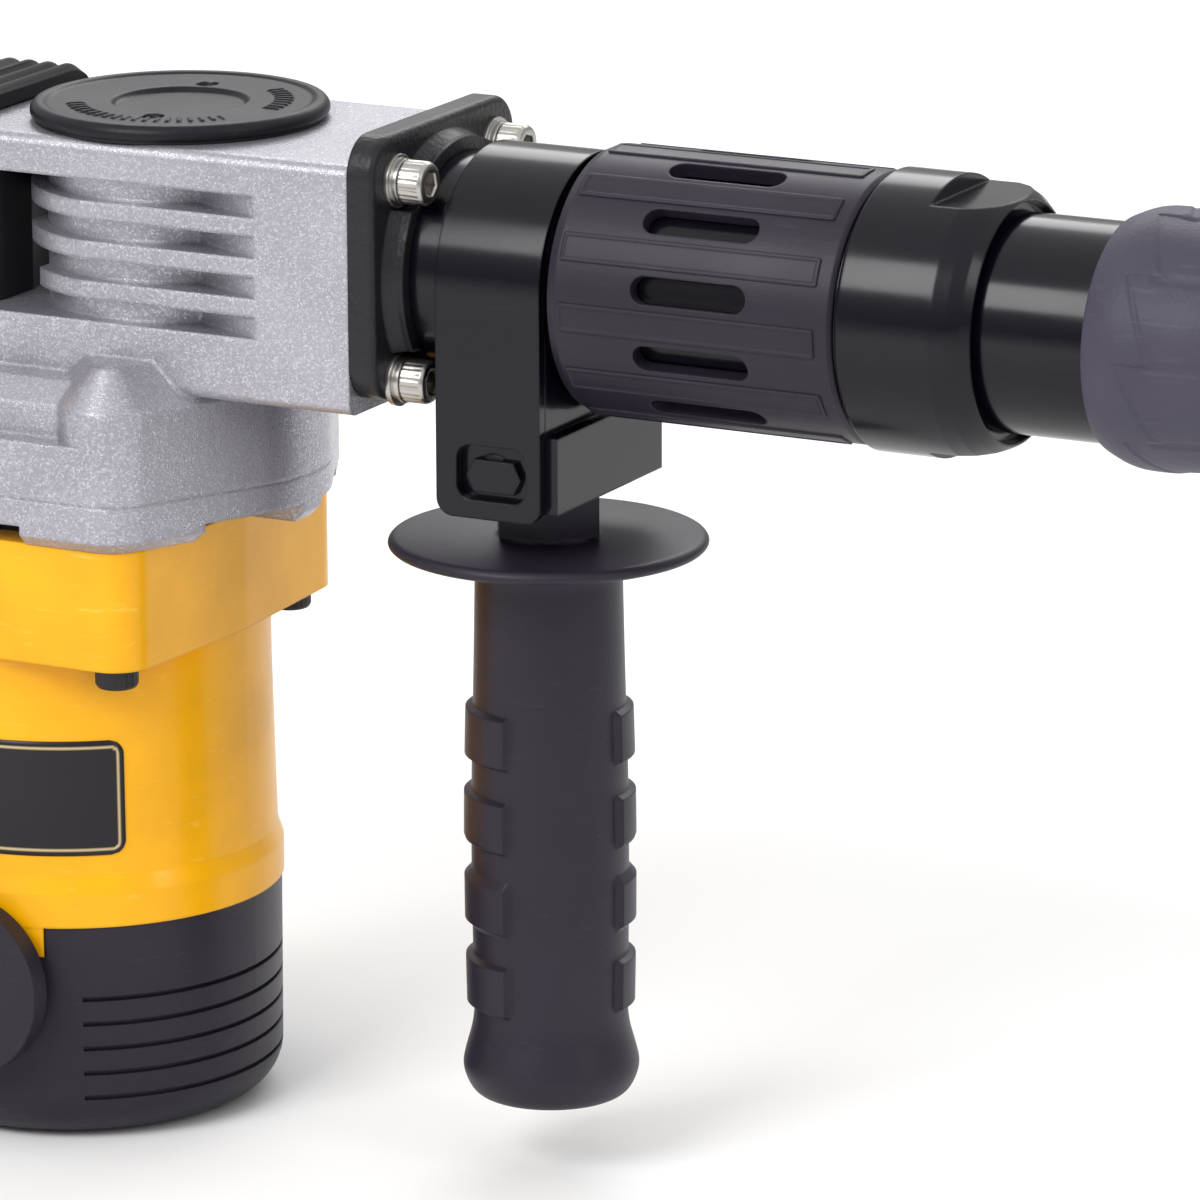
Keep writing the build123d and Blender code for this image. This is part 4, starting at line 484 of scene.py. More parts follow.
class HAMMER_OT_finish_frame(HammerOperator):
    """Make every finish and put it on the frame's own parts"""

    bl_idname = "hammer.finish_frame"
    bl_label = "Finish the frame"

    def execute(self, context):
        c = context.scene.hammer_colours
        make_grain_group()
        make_handling_group()
        shell, plastic, casting, enamel = (tuple(v) for v in (c.shell, c.plastic, c.casting, c.enamel))
        finish("sand_casting", casting, 0.40, metallic=0.7, grain=2600, depth=0.085, speck=0.7,
               edge=0.0014)
        finish("shell_yellow", shell, 0.32, coat=0.12, grain=700, depth=0.004, worn=(1.0, 0.62, 0.1),
               edge=0.0010)
        finish("satin_plastic", plastic, 0.42, grain=2200, depth=0.03, worn=(0.045, 0.038, 0.055))
        finish("cover_plastic", (0.010, 0.009, 0.012), 0.5, grain=1800, depth=0.03)
        finish("cap_plastic", (0.009, 0.008, 0.012), 0.40, grain=1600, depth=0.05,
               worn=(0.035, 0.034, 0.04), specular=0.22)
        finish("rough_casting", (0.010, 0.010, 0.013), 0.42, coat=0.1, grain=650, depth=0.26, edge=0.001)
        finish("gloss_enamel", enamel, 0.19, coat=0.08, depth=0.008, worn=(0.012, 0.012, 0.018),
               edge=0.0008, specular=0.26)
        finish("zinc_plate", (0.52, 0.50, 0.47), 0.28, metallic=1.0, grain=1500, depth=0.01)
        # near-black finish for the motor's cap screws: part dark steel, part painted shade from the flange over
        # them
        finish("dark_steel_painted_shade", (0.045, 0.042, 0.045), 0.38, metallic=0.8, grain=1500, depth=0.02)
        finish("soft_rubber", (0.009, 0.009, 0.011), 0.62, grain=1300, depth=0.05)
        finish("nose_rubber", (0.062, 0.055, 0.085), 0.5, grain=1200, depth=0.12, worn=(0.10, 0.09, 0.13))
        finish("bright_steel", (0.56, 0.56, 0.58), 0.26, metallic=1.0, depth=0.004, rings=(0, 1600, 0.003))
        finish("stacked_iron", (0.30, 0.30, 0.32), 0.45, metallic=0.9, rings=(2, 1000, 0.05))
        finish("wound_copper", (0.62, 0.22, 0.08), 0.32, metallic=0.9, rings=(2, 900, 0.12))
        finish("drawn_brass", (0.72, 0.50, 0.18), 0.3, metallic=1.0, depth=0.005)
        finish("pressed_carbon", (0.03, 0.03, 0.03), 0.6, grain=2000, depth=0.05)
        finish("fan_nylon", (0.62, 0.60, 0.55), 0.45, grain=1500, depth=0.01)
        finish("label_film", (0.010, 0.008, 0.012), 0.34, coat=0.1, depth=0.002, rim=(0.62, 0.48, 0.24))
        for name, nodes in FINISH_OF_NODE.items():
            for node in nodes:
                mesh = NODES[node].data
                mesh.materials.clear()
                mesh.materials.append(self.finish_of(name))
        return {"FINISHED"}


# ------------------------------------------------------------------ crank cap
CAP_STROKES = (0.0218, 0.0258)
CAP_HOLES = ((-0.004, 0.019), (0.004, -0.019))


class HAMMER_OT_crank_cap(HammerOperator):
    """Turned crank cap with a beaded rim, a sunk centre, two pin holes and a ring of raised strokes"""

    bl_idname = "hammer.crank_cap"
    bl_label = "Crank cap"

    def execute(self, context):
        low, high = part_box("crank_cap")
        radius, top, under = (high.x - low.x) / 2, high.z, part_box("cap_seal")[1].z
        profile = divided(rounded([
            (under, 0.002, 0), (under, radius - 0.0006, 0.0004), (under + 0.0008, radius, 0.0004),
            (top - 0.0014, radius, 0.0009), (top - 0.0001, radius - 0.0012, 0.0007),
            (top, radius - 0.0030, 0.0008), (top - 0.0007, radius - 0.0040, 0.0005),
            (top - 0.0006, 0.0157, 0.0004), (top - 0.0017, 0.0148, 0.0004), (top - 0.0017, 0.0008, 0),
        ]), 0.0006)
        angle = np.linspace(0, 2 * pi, 480, endpoint=False)[None, :]
        z, r = profile[:, :1], profile[:, 1:]
        face = ramp(z, top - 0.0025, top - 0.0020)
        beat = np.cos(angle * self.sizes(context).cap_marks)
        long_arc = band(np.abs(angle - 1.5 * pi), -1, 0.95, 0.05)
        short_arc = band(np.abs(angle - 0.45), -1, 0.5, 0.05)
        strokes = ramp(beat, 0.15, 0.55) * band(r, *CAP_STROKES, 0.0007) * np.maximum(long_arc, short_arc)
        x, y = r * np.cos(angle), r * np.sin(angle)
        holes = sum(1 - ramp(np.hypot(x - hole[0], y - hole[1]), 0.0020, 0.0026) for hole in CAP_HOLES)
        along = z + face * (0.00045 * strokes - 0.0022 * holes)
        grid = turned(along, np.broadcast_to(r, along.shape), np.broadcast_to(angle, along.shape),
                      (CRANK_X, 0, 0), (0, 0, 1), (1, 0, 0))
        piece("crank_cap_turned", [closed_grid(grid)], self.finish_of("cap_plastic"), "machine",
              ["crank_cap"])
        return {"FINISHED"}


# ------------------------------------------------------------------ cap screws
MOTOR_PITCH = (0.0357, 0.0397)
FLANGE_PITCH = (0.0229, 0.0225)
HEAD_RADIUS, HEAD_HEIGHT, SOCKET_FLAT = 0.0050, 0.0060, 0.0025
KNURL_DEPTH = 0.00022


def socket_screw(seat, axis, knurls):
    """A cap screw's head: its radius carries a ripple of cosine knurls, its socket is a hexagon.

    The hexagon's radius is flat / cos(angle within its sixth - 30 degrees). A row holds the place
    along the axis, the radius, and the shares of knurl and of hexagon there.
    """
    first = Vector(axis).orthogonal().normalized()
    angle = np.linspace(0, 2 * pi, knurls * 6, endpoint=False)[None, :]
    h, r = HEAD_HEIGHT, HEAD_RADIUS
    rows = np.array([
        (0, 0.0006, 0, 0), (0, r - 0.0003, 0, 0), (0.0003, r, 0, 0), (0.0006, r, 1, 0),
        (h - 0.0012, r, 1, 0), (h - 0.0009, r - 0.0001, 0, 0), (h - 0.0002, r - 0.0005, 0, 0),
        (h, r - 0.0010, 0, 0),
        (h, SOCKET_FLAT + 0.0004, 0, 0.5), (h - 0.0003, SOCKET_FLAT, 0, 1), (h - 0.0033, SOCKET_FLAT, 0, 1),
        (h - 0.0038, 0.0004, 0, 0),
    ])
    along, radius, knurl, hexagon = (rows[:, k, None] for k in range(4))
    sixth = np.mod(angle, pi / 3) - pi / 6
    teeth = KNURL_DEPTH * (0.5 + 0.5 * np.cos(knurls * angle))
    radius = radius * (1 + hexagon * (1 / np.cos(sixth) - 1)) - knurl * teeth
    along = np.broadcast_to(along, radius.shape)
    return closed_grid(turned(along, radius, np.broadcast_to(angle, radius.shape), seat, axis, first))


class HAMMER_OT_cap_screws(HammerOperator):
    """Knurled cap screws of the barrel flange and the motor; the motor's are near black, part dark steel and part
    painted shade from the flange above them
    """

    bl_idname = "hammer.cap_screws"
    bl_label = "Cap screws"

    def execute(self, context):
        knurls = self.sizes(context).knurls
        low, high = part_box("cap_screws")
        seat_x, seat_z = high.x - HEAD_HEIGHT, low.z + HEAD_HEIGHT
        corners = [(a, b) for a in (-1, 1) for b in (-1, 1)]
        across, up = FLANGE_PITCH
        flange = [(seat_x, a * across, AXIS_Z + b * up) for a, b in corners]
        motor = [(a * MOTOR_PITCH[0], b * MOTOR_PITCH[1], seat_z) for a, b in corners]
        shells = [socket_screw(seat, (1, 0, 0), knurls) for seat in flange]
        shells += [socket_screw(seat, (0, 0, -1), knurls) for seat in motor]
        obj = piece("cap_screw_heads", shells, self.finish_of("zinc_plate"), "machine", ["cap_screws"])
        # the motor's screws take the near-black finish, partly painted shade of the flange above them
        obj.data.materials.append(self.finish_of("dark_steel_painted_shade"))
        faces = len(obj.data.polygons)
        on_motor = (np.arange(faces) >= faces // 2).astype(np.int32)
        obj.data.polygons.foreach_set("material_index", on_motor)
        return {"FINISHED"}


# ------------------------------------------------------------------ bellows and springs
NECK_END = -0.0204
RIB_PITCH, RIB_DEPTH = 0.0052, 0.0012
BELLOWS_CORNER, BELLOWS_WALL = 0.009, 0.0034


def section_ring(half_y, half_z, corner, centre_z, x):
    """A rounded rectangle square to the hammer axis at x."""
    y, z = outline(half_y, half_z, corner, 0, 128).T
    return np.stack([np.full_like(y, x), y, centre_z + z], -1)


class HAMMER_OT_bellows(HammerOperator):
    """Ribbed rubber bellows between the gear housing and the rear handle

    A ring of rounded rectangles, drawn in by a cosine rib, closes on itself through its inner wall,
    and a low ribbed strip runs on over the housing's deck.
    """

    bl_idname = "hammer.bellows"
    bl_label = "Bellows"

    def execute(self, context):
        low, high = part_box("bellows")
        centre_z, half_y, half_z = (low.z + high.z) / 2, high.y, (high.z - low.z) / 2
        x = np.linspace(low.x, NECK_END, 36)
        fold = RIB_DEPTH * ripple(2 * pi * (x - low.x) / RIB_PITCH)
        outer = [section_ring(half_y - f, half_z - f, BELLOWS_CORNER - f, centre_z, v)
                 for v, f in zip(x, fold)]
        inner_y, inner_z = half_y - BELLOWS_WALL, half_z - BELLOWS_WALL
        inner = [section_ring(inner_y, inner_z, 0.006, centre_z, v) for v in x[::-1]]
        neck = closed_grid(np.stack(outer + inner), loop=True)
        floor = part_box("gear_housing")[1].z + 0.0005
        y = np.linspace(-1, 1, 60) * (half_y - RIB_DEPTH)
        past = np.maximum(np.abs(y) - half_y + BELLOWS_CORNER, 0)
        roof = high.z - BELLOWS_CORNER + np.sqrt(np.maximum(BELLOWS_CORNER**2 - past**2, 0))
        roof = np.maximum(roof, floor + 0.0002)
        rows = []
        for v in np.linspace(NECK_END, high.x, 44):
            share = 1 - 0.38 * ripple(2 * pi * (v - low.x) / RIB_PITCH)
            place = np.full_like(y, v)
            top = np.stack([place, y, floor + (roof - floor) * share], -1)
            rows.append(np.vstack([top, np.stack([place, y[::-1], np.full_like(y, floor)], -1)]))
        shells = [neck, closed_grid(np.stack(rows))]
        obj = piece("bellows_ribbed", shells, self.finish_of("soft_rubber"), None, ["bellows"])
        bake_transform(obj)
        return {"FINISHED"}


def coil(start, end, radius, wire, turns):
    """A helix along +X with closed ends: centre = (x, R cos a, R sin a), wire radius about it."""
    count = int(turns * 28)
    a = np.linspace(0, 2 * pi * turns, count)[:, None]
    x = np.linspace(start[0] + wire, end[0] - wire, count)[:, None]
    ring = np.linspace(0, 2 * pi, 10, endpoint=False)[None, :]
    out = radius + wire * np.cos(ring)
    grid = np.stack([x + wire * np.sin(ring), start[1] + out * np.cos(a), start[2] + out * np.sin(a)], -1)
    return closed_grid(grid)


class HAMMER_OT_springs(HammerOperator):
    """Helical springs of the nose sleeve and the rear handle"""

    bl_idname = "hammer.springs"
    bl_label = "Springs"

    def execute(self, context):
        steel = self.finish_of("bright_steel")
        for node, other, turns, wire in (
                ("sleeve_spring", "lock_sleeve", 3.5, 0.0009), ("damper_spring", "rear_handle", 4.5, 0.0011)):
            low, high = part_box(node)
            centre_z, radius = (low.z + high.z) / 2, (high.y - low.y) / 2 - wire
            rear, front = (low.x, 0, centre_z), (high.x, 0, centre_z)
            shell = coil(rear, front, radius, wire, turns)
            obj = piece(node + "_coil", [shell], steel, None, [node])
            fixed, moving = (front, rear) if other == "rear_handle" else (rear, front)
            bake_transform(obj)
            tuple(fixed)
            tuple(moving)
        return {"FINISHED"}


# ------------------------------------------------------------------ side grip
GUARD_DROP, FIRST_PAD_DROP = 0.0604, 0.100
PAD_ROWS, PAD_PITCH, PAD_LENGTH = 4, 0.0195, 0.0116
PAD_MIDDLES = (radians(-140), radians(40))
PAD_HALF_ANGLE = radians(45.5)


class HAMMER_OT_side_grip(HammerOperator):
    """Side grip: hexagon hub, wide guard, waisted grip with raised pads and a round end"""

    bl_idname = "hammer.side_grip"
    bl_label = "Side grip"

    def execute(self, context):
        low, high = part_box("grip")
        foot, hub, guard_r = low.z, high.z, (high.x - low.x) / 2
        guard = AXIS_Z - GUARD_DROP
        profile = divided(rounded([
            (hub, 0.0008, 0), (hub, 0.0112, 0.0005), (guard, 0.0112, 0.0012), (guard, guard_r - 0.0012, 0.0010),
            (guard - 0.0016, guard_r, 0.0010), (guard - 0.0030, guard_r - 0.0012, 0.0012),
            (guard - 0.0042, 0.0215, 0.003), (guard - 0.0072, 0.0167, 0.003), (0.123, 0.0170, 0.010),
            (0.083, 0.0180, 0.015), (0.053, 0.0178, 0.010), (0.034, 0.0174, 0.005),
            (0.0265, 0.0196, 0.004), (0.0225, 0.0204, 0.0025), (foot + 0.0012, 0.0182, 0.003),
            (foot, 0.0150, 0.002), (foot, 0.0120, 0.0006), (foot + 0.0030, 0.0100, 0.0006),
            (foot + 0.0030, 0.0006, 0),
        ], 7), 0.0009)
        angle = np.linspace(-pi, pi, 256, endpoint=False)[None, :]
        z, r = profile[:, :1], profile[:, 1:]
        on_hub = (z > guard + 0.0006) & (r > 0.009)
        sixth = np.mod(angle, pi / 3) - pi / 6
        hexagon = np.where(on_hub, 1 / np.cos(sixth), 1.0)
        pads = np.zeros((len(z), angle.shape[1]))
        for middle in PAD_MIDDLES:
            around = np.abs(np.mod(angle - middle + pi, 2 * pi) - pi)
            side = 1 - ramp(around, PAD_HALF_ANGLE - 0.02, PAD_HALF_ANGLE + 0.02)
            for row in range(PAD_ROWS):
                top = AXIS_Z - FIRST_PAD_DROP - PAD_PITCH * row
                pads = np.maximum(pads, side * band(z, top - PAD_LENGTH, top, 0.0008))
        radius = r * hexagon + self.sizes(context).pad_height * pads
        grid = turned(np.broadcast_to(z, radius.shape), radius, np.broadcast_to(angle, radius.shape),
                      (HANDLE_X, 0, 0), (0, 0, 1), (1, 0, 0))
        piece("side_grip_moulded", [closed_grid(grid)], self.finish_of("satin_plastic"), "side_grip",
              ["grip"])
        return {"FINISHED"}


# ------------------------------------------------------------------ nose sleeve
NOSE_PADS, GROOVE_DEPTH = 9, 0.00035
SLEEVE_BORE = 0.0244


class HAMMER_OT_nose_sleeve(HammerOperator):
    """Rubber covered locking sleeve: round rear shoulder, and pads parted by grooves towards the front"""

    bl_idname = "hammer.nose_sleeve"
    bl_label = "Nose sleeve"

    def execute(self, context):
        low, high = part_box("nose_sleeve")
        x0, x1, r1 = low.x, high.x, high.y
        bore = SLEEVE_BORE
        profile = divided(rounded([
            (x0 + 0.0010, bore, 0), (x0, bore + 0.0010, 0.0004), (x0 + 0.0004, r1 - 0.0028, 0.0012),
            (x0 + 0.0062, r1 - 0.0002, 0.0040), (x0 + 0.0125, r1, 0.003), (x1 - 0.0080, r1 - 0.0009, 0.004),
            (x1 - 0.0010, r1 - 0.0026, 0.002), (x1, r1 - 0.0042, 0.0012), (x1, bore + 0.0006, 0.0003),
            (x1 - 0.0030, bore, 0.0002), (x0 + 0.0014, bore, 0.0002),
        ]), 0.0005)
        angle = np.linspace(0, 2 * pi, 432, endpoint=False)[None, :]
        x, r = profile[:, :1], profile[:, 1:]
        outside = ramp(r, bore + 0.0014, bore + 0.0030)
        share = np.mod(angle * NOSE_PADS / (2 * pi), 1)
        start = x0 + 0.0095 + 0.0075 * share
        seam = 1 - band(share, 0.055, 0.945, 0.06)
        slant = band(x, start - 0.0006, start + 0.0006, 0.0008) * (1 - ramp(share, 0.90, 0.97))
        lengthwise = seam * ramp(x, x0 + 0.0135, x0 + 0.0160) * (1 - ramp(x, x1 - 0.0040, x1 - 0.0020))
        crown = ripple(2 * pi * share)
        raised = ramp(x, start, start + 0.0015) * (1 - ramp(x, x1 - 0.0035, x1 - 0.0020))
        shape = GROOVE_DEPTH * (crown * raised - raised - np.maximum(slant, lengthwise))
        radius = r + outside * shape
        grid = turned(np.broadcast_to(x, radius.shape), radius, np.broadcast_to(angle, radius.shape),
                      (0, 0, AXIS_Z), (1, 0, 0), (0, -1, 0))
        piece("nose_sleeve_moulded", [closed_grid(grid, loop=True)], self.finish_of("nose_rubber"),
              "lock_sleeve", ["nose_sleeve"])
        return {"FINISHED"}


# ------------------------------------------------------------------ barrel sleeve panels and labels
SLOTS, FIRST_SLOT = 12, radians(10.3)
PANEL_HALF_LENGTH, PANEL_HALF_ANGLE = 0.0312, radians(6.2)
HOUSING_RADIUS, HOUSING_TAPER, TAPER_FROM = 0.0472, 0.0225, 0.064
LABEL_HALF_ANGLE, LABEL_CORNER = radians(45), 0.0034


class HAMMER_OT_sleeve_panels(HammerOperator):
    """Flat raised panels on the barrel sleeve, one between each pair of slots"""

    bl_idname = "hammer.sleeve_panels"
    bl_label = "Sleeve panels"

    def execute(self, context):
        low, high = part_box("barrel_sleeve")
        radius, height = high.y, self.sizes(context).panel_height
        middle_x = (low.x + high.x) / 2 - 0.0002
        steps = [(0, -0.0006), (0, height * 0.7), (0.0002, height), (0.0008, height),
                 (0.0010, height * 0.55), (0.0020, height * 0.55)]
        shells = []
        for panel in range(SLOTS):
            turn = FIRST_SLOT + (panel + 0.5) * 2 * pi / SLOTS

            def place(u, v, rise, turn=turn):
                a = turn + v / radius
                out = radius + rise
                return np.stack([middle_x + u, -out * np.cos(a), AXIS_Z + out * np.sin(a)], -1)

            shells.append(plate(place, PANEL_HALF_LENGTH, radius * PANEL_HALF_ANGLE, 0.0006, steps, 64))
        piece("sleeve_panel_set", shells, self.finish_of("satin_plastic"), "machine", ())
        return {"FINISHED"}


class HAMMER_OT_side_labels(HammerOperator):
    """Blank labels with round corners and a pale edge line, one on each side of the motor"""

    bl_idname = "hammer.side_labels"
    bl_label = "Side labels"

    def execute(self, context):
        low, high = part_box("side_labels")
        middle_z, half_z = (low.z + high.z) / 2, (high.z - low.z) / 2
        half_u, corner = HOUSING_RADIUS * LABEL_HALF_ANGLE, LABEL_CORNER
        v = np.linspace(-half_z, half_z, 56)[:, None]
        past = np.maximum(np.abs(v) - half_z + corner, 0)
        width = half_u - corner + np.sqrt(np.maximum(corner**2 - past**2, 0))
        u = np.linspace(-1, 1, 150)[None, :] * width
        v = np.broadcast_to(v, u.shape)
        beyond = np.stack([np.abs(u) - half_u + corner, np.abs(v) - half_z + corner], -1)
        inset = corner - np.linalg.norm(np.maximum(beyond, 0), axis=-1) - np.minimum(beyond.max(-1), 0)
        rise = 0.0006 - 0.00035 * (1 - ramp(inset, 0.0, 0.0007))
        line = band(inset, 0.0011, 0.0017, 0.0002)
        shells, rims = [], []
        for side in (-1, 1):
            z, turn = middle_z + v, u / HOUSING_RADIUS
            skin = HOUSING_RADIUS - HOUSING_TAPER * (z - TAPER_FROM)
            grids = [np.stack([(skin + lift) * np.sin(turn), side * (skin + lift) * np.cos(turn), z], -1)
                     for lift in (rise, -0.0005)]
            shells.append(two_sided(*grids))
            rims += [line.ravel(), np.zeros(line.size)]
        piece("side_label_plates", shells, self.finish_of("label_film"), "machine", ["side_labels"],
              rim=np.concatenate(rims))
        return {"FINISHED"}


# ------------------------------------------------------------------ rear handle
SPINE = np.array([
    (-0.0318, 0.2215, 0.0185, 0.0268), (-0.0500, 0.2220, 0.0188, 0.0262), (-0.0750, 0.2222, 0.0186, 0.0225),
    (-0.0960, 0.2185, 0.0185, 0.0182), (-0.1120, 0.2070, 0.0182, 0.0170), (-0.1195, 0.1900, 0.0168, 0.0170),
    (-0.1208, 0.1660, 0.0156, 0.0170), (-0.1212, 0.1300, 0.0154, 0.0170), (-0.1208, 0.0950, 0.0152, 0.0168),
    (-0.1205, 0.0625, 0.0150, 0.0168)])
SPINE_POINTS = 360
TRIGGER_SPAN, TRIGGER_HALF = (0.1472, 0.1848), 0.0076
TRIGGER_FRONT, TRIGGER_FLOOR = -0.098, -0.1182
BUTTON_AT, BUTTON_FLOOR = (-0.122, 0.184), 0.0100
SCREWS_AT, SCREW_FLOOR = ((-0.048, 0.216), (-0.092, 0.226), (-0.129, 0.204), (-0.129, 0.088)), 0.0115
PAD_SPAN, PAD_HALF_TURN, PAD_LIFT = (0.076, 0.186), radians(62), 0.0019


def smooth_spine():
    """Uniform cubic B-spline drawn by the control rows, with its end rows repeated so it reaches them.

    A row holds x, z, half the depth and half the width of the handle there.
    """
    rows = np.vstack([SPINE[:1], SPINE[:1], SPINE, SPINE[-1:], SPINE[-1:]])
    s = np.linspace(0, len(rows) - 3 - 1e-9, SPINE_POINTS)
    k, t = s.astype(int), (s % 1)[:, None]
    weights = ((1 - t) ** 3, 3 * t**3 - 6 * t**2 + 4, -3 * t**3 + 3 * t**2 + 3 * t + 1, t**3)
    return sum(w * rows[k + n] for n, w in enumerate(weights)) / 6


def handle_surface(angle):
    """Points of the handle's skin on a grid of spine places and section angles.

    A section is a superellipse of exponent 3.4: across = half depth * sign(cos) |cos|^(2/3.4), and
    sideways = half width * sign(sin) |sin|^(2/3.4). Angle 0 faces the motor.
    """
    row = smooth_spine()
    tangent = np.gradient(row[:, :2], axis=0)
    tangent /= np.linalg.norm(tangent, axis=1, keepdims=True)
    inward = np.stack([-tangent[:, 1], tangent[:, 0]], -1)
    power = 2 / 3.4
    c, s = np.cos(angle), np.sin(angle)
    depth = np.sign(c) * np.abs(c) ** power
    width = np.sign(s) * np.abs(s) ** power
    across = row[:, 2:3] * depth[None, :]
    y = row[:, 3:4] * width[None, :]
    x = row[:, 0:1] + inward[:, :1] * across
    z = row[:, 1:2] + inward[:, 1:] * across
    return x, y, z


def near_hole(x, z, place, edge):
    """1 within edge of a place in the side view, falling to 0 over 0.9 mm."""
    return 1 - ramp(np.hypot(x - place[0], z - place[1]), edge, edge + 0.0009)


class HAMMER_OT_rear_handle(HammerOperator):
    """Two smooth shells of the rear handle, with pockets for trigger, lock button and screws"""

    bl_idname = "hammer.rear_handle"
    bl_label = "Rear handle"

    def execute(self, context):
        for side, name in ((-1, "handle_left"), (1, "handle_right")):
            half = np.linspace(0.004, pi - 0.004, 150)
            x, y, z = handle_surface(side * half)
            y = side * np.maximum(np.abs(y), 0.00025)
            facing = np.cos(half)[None, :] > 0
            inside = 1 - ramp(np.abs(y), TRIGGER_HALF - 0.0004, TRIGGER_HALF + 0.0004)
            pocket = band(z, *TRIGGER_SPAN, 0.0010) * inside
            sunk = x + (np.minimum(x, TRIGGER_FLOOR) - x) * pocket
            x = np.where(facing & (x < TRIGGER_FRONT), sunk, x)
            if side < 0:
                y = y + near_hole(x, z, BUTTON_AT, 0.0053) * np.maximum(0, -BUTTON_FLOOR - y)
            else:
                for place in SCREWS_AT:
                    y = y - near_hole(x, z, place, 0.0041) * np.maximum(0, y - SCREW_FLOOR)
            skin = np.stack([x, y, z], -1)
            back = skin[:, ::-1][:, 2:-2:3].copy()
            back[..., 1] = side * 0.00015
            piece(name + "_shell", [closed_grid(np.concatenate([skin, back], axis=1))],
                  self.finish_of("shell_yellow"), "rear_handle", [name])
        return {"FINISHED"}


class HAMMER_OT_grip_pad(HammerOperator):
    """Soft ribbed pad on the back of the rear grip"""

    bl_idname = "hammer.grip_pad"
    bl_label = "Grip pad"

    def execute(self, context):
        angle = pi + np.linspace(-PAD_HALF_TURN, PAD_HALF_TURN, 90)
        spine = smooth_spine()
        keep = (spine[:, 1] > PAD_SPAN[0]) & (spine[:, 1] < PAD_SPAN[1])
        x, y, z = (values[keep] for values in handle_surface(angle))
        rows, columns = np.linspace(0, 1, len(z))[:, None], np.linspace(0, 1, len(angle))[None, :]
        edge = band(rows, 0.012, 0.988, 0.02) * band(columns, 0.02, 0.98, 0.03)
        ribs = 0.72 + 0.28 * np.cos(2 * pi * z / RIB_PITCH) ** 2
        lift = PAD_LIFT * edge * ribs
        centre = spine[keep][:, :1]
        top = np.stack([x - lift * np.cos(angle - pi)[None, :], y + lift * np.sin(angle)[None, :], z], -1)
        under = np.stack([x + (centre - x) * 0.12, y * 0.9, z], -1)[:, ::-1]
        piece("grip_pad_ribbed", [closed_grid(np.concatenate([top, under], axis=1))],
              self.finish_of("soft_rubber"), "rear_handle", ["grip_pad"])
        return {"FINISHED"}


# ------------------------------------------------------------------ stage
EYE, TARGET = Vector((0.945, -1.545, 0.595)), Vector((0.1074, 0.0, 0.1274))
CAMERA_ROLL = radians(-0.46)
FLOOR_REACH, FLOOR_POINTS = 12, 9


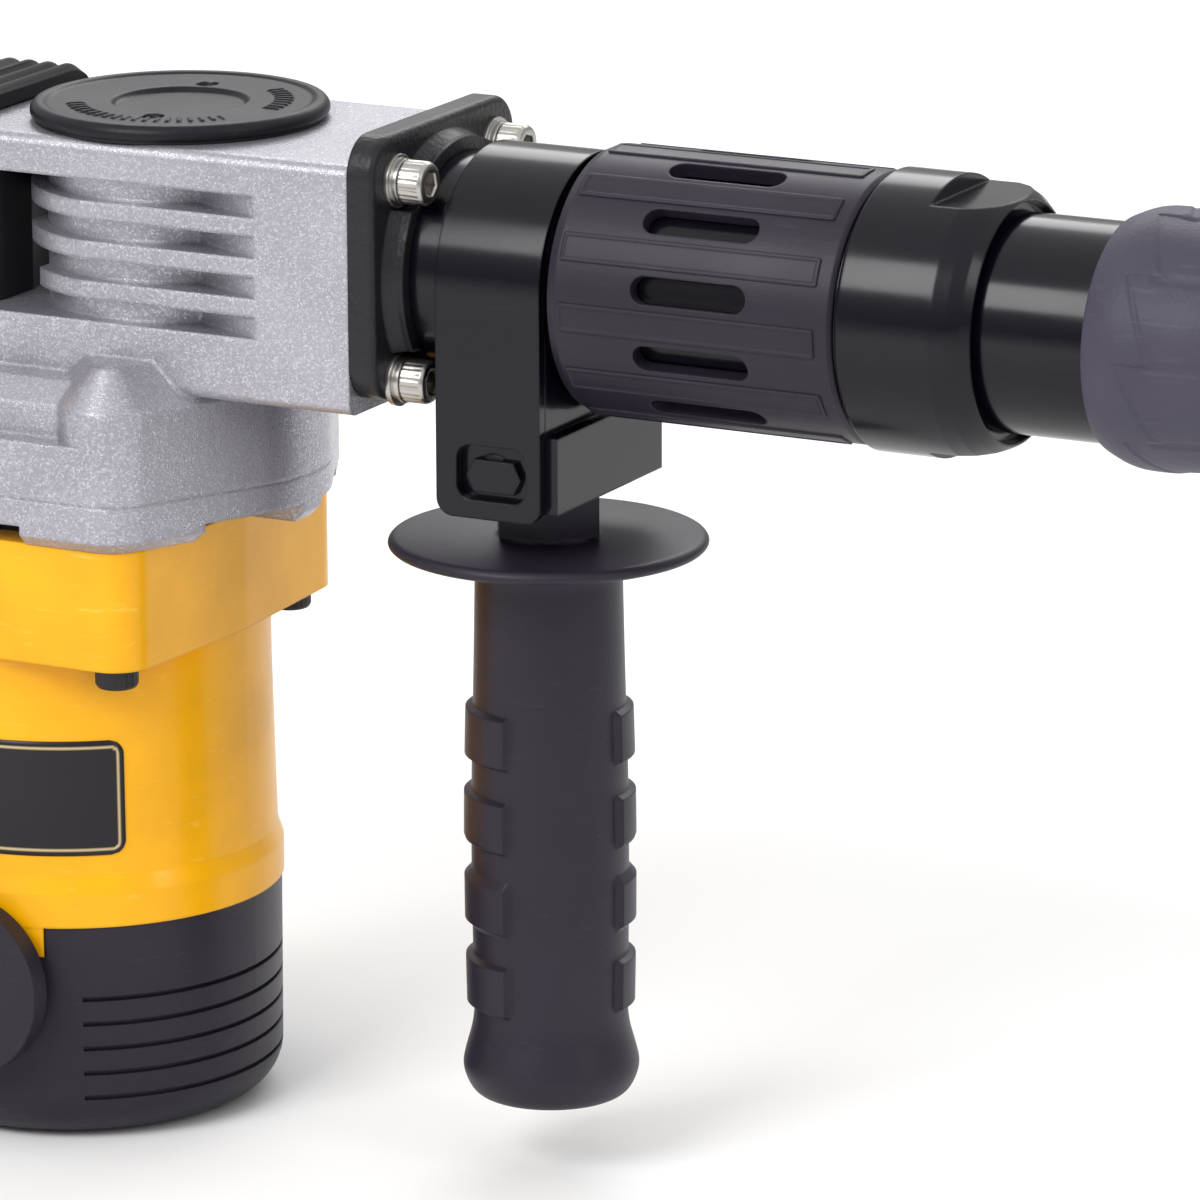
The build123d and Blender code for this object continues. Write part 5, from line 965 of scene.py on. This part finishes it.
class HAMMER_OT_stage(HammerOperator):
    """Pale floor, soft lights and the camera"""

    bl_idname = "hammer.stage"
    bl_label = "Stage"

    def light(self, name, place, size, power):
        """A soft rectangular light that faces the middle of the object."""
        data = bpy.data.lights.new(name, "AREA")
        data.shape, data.size, data.size_y, data.energy = "RECTANGLE", *size, power
        obj = bpy.data.objects.new(name, data)
        obj.location = place
        obj.rotation_euler = (TARGET - Vector(place)).to_track_quat("-Z", "Y").to_euler()
        bpy.context.scene.collection.objects.link(obj)

    def execute(self, context):
        settings = context.scene.stage_settings
        span = np.linspace(-FLOOR_REACH, FLOOR_REACH, FLOOR_POINTS)
        x, y = np.meshgrid(span, span)
        z = np.full_like(x, CAD_BOX[0].z - 0.0004)
        mesh = bpy.data.meshes.new("floor")
        index = np.arange(x.size).reshape(x.shape)
        quads = np.stack([index[:-1, :-1], index[:-1, 1:], index[1:, 1:], index[1:, :-1]], -1).reshape(-1, 4)
        mesh.from_pydata(np.stack([x, y, z], -1).reshape(-1, 3).tolist(), [], quads.tolist())
        paint = bpy.data.materials.new("pale_floor")
        paint.use_nodes = True
        shader = paint.node_tree.nodes["Principled BSDF"]
        shader.inputs["Base Color"].default_value = (0.9, 0.9, 0.9, 1)
        shader.inputs["Roughness"].default_value = 0.9
        mesh.materials.append(paint)
        floor = bpy.data.objects.new("floor", mesh)
        context.scene.collection.objects.link(floor)
        world = bpy.data.worlds.new("studio")
        world.use_nodes = True
        tree, sky = world.node_tree, world.node_tree.nodes["Background"]
        sky.inputs[0].default_value = (1, 1, 1, 1)
        split = tree.nodes.new("ShaderNodeSeparateXYZ")
        tree.links.new(tree.nodes.new("ShaderNodeTexCoord").outputs["Generated"], split.inputs[0])
        spread = tree.nodes.new("ShaderNodeMapRange")
        spread.inputs["To Min"].default_value = 0.32 * settings.world
        spread.inputs["To Max"].default_value = settings.world
        spread.inputs["From Max"].default_value = 0.6
        tree.links.new(split.outputs[2], spread.inputs["Value"])
        tree.links.new(spread.outputs[0], sky.inputs[1])
        context.scene.world = world
        context.scene.view_settings.view_transform = "Standard"
        self.light("key", (-0.25, -1.3, 1.2), (0.9, 0.7), settings.key_power)
        self.light("side", (1.7, -0.3, 0.9), (0.35, 1.0), settings.key_power * 0.22)
        self.light("back", (-0.3, 1.3, 1.1), (1.2, 0.6), settings.key_power * 0.5)
        data = bpy.data.cameras.new("camera")
        data.lens, data.sensor_width, data.sensor_fit = 240.8, 36, "HORIZONTAL"
        data.shift_x, data.shift_y = 0.102, 0.009
        data.clip_end = 40
        camera = bpy.data.objects.new("camera", data)
        aim = (TARGET - EYE).to_track_quat("-Z", "Y").to_matrix()
        turn = aim @ Matrix.Rotation(CAMERA_ROLL, 3, "Z")
        camera.location = EYE
        camera.rotation_euler = turn.to_euler()
        context.scene.collection.objects.link(camera)
        context.scene.camera = camera
        return {"FINISHED"}


# ------------------------------------------------------------------ panel and registration
OPERATORS = (
    HAMMER_OT_finish_frame, HAMMER_OT_crank_cap, HAMMER_OT_cap_screws, HAMMER_OT_bellows, HAMMER_OT_springs,
    HAMMER_OT_side_grip, HAMMER_OT_nose_sleeve, HAMMER_OT_sleeve_panels, HAMMER_OT_side_labels,
    HAMMER_OT_rear_handle, HAMMER_OT_grip_pad, HAMMER_OT_stage,
)
GROUPS = (
    (HammerSizes, "hammer_sizes"), (HammerColours, "hammer_colours"), (StageSettings, "stage_settings"),
)


class HAMMER_PT_panel(bpy.types.Panel):
    """The hammer's steps, in order"""

    bl_idname = "HAMMER_PT_panel"
    bl_label = "Demolition hammer"
    bl_space_type = "VIEW_3D"
    bl_region_type = "UI"
    bl_category = "Hammer"

    def draw(self, context):
        for operator in OPERATORS:
            self.layout.operator(operator.bl_idname)


def register():
    for group, name in GROUPS:
        bpy.utils.register_class(group)
        setattr(bpy.types.Scene, name, PointerProperty(type=group))
    for operator in OPERATORS:
        bpy.utils.register_class(operator)
    bpy.utils.register_class(HAMMER_PT_panel)


def unregister():
    bpy.utils.unregister_class(HAMMER_PT_panel)
    for operator in reversed(OPERATORS):
        bpy.utils.unregister_class(operator)
    for group, name in reversed(GROUPS):
        delattr(bpy.types.Scene, name)
        bpy.utils.unregister_class(group)


def main():
    register()
    for operator in OPERATORS:
        family, name = operator.bl_idname.split(".")
        getattr(getattr(bpy.ops, family), name)()


if __name__ == "__main__":
    main()
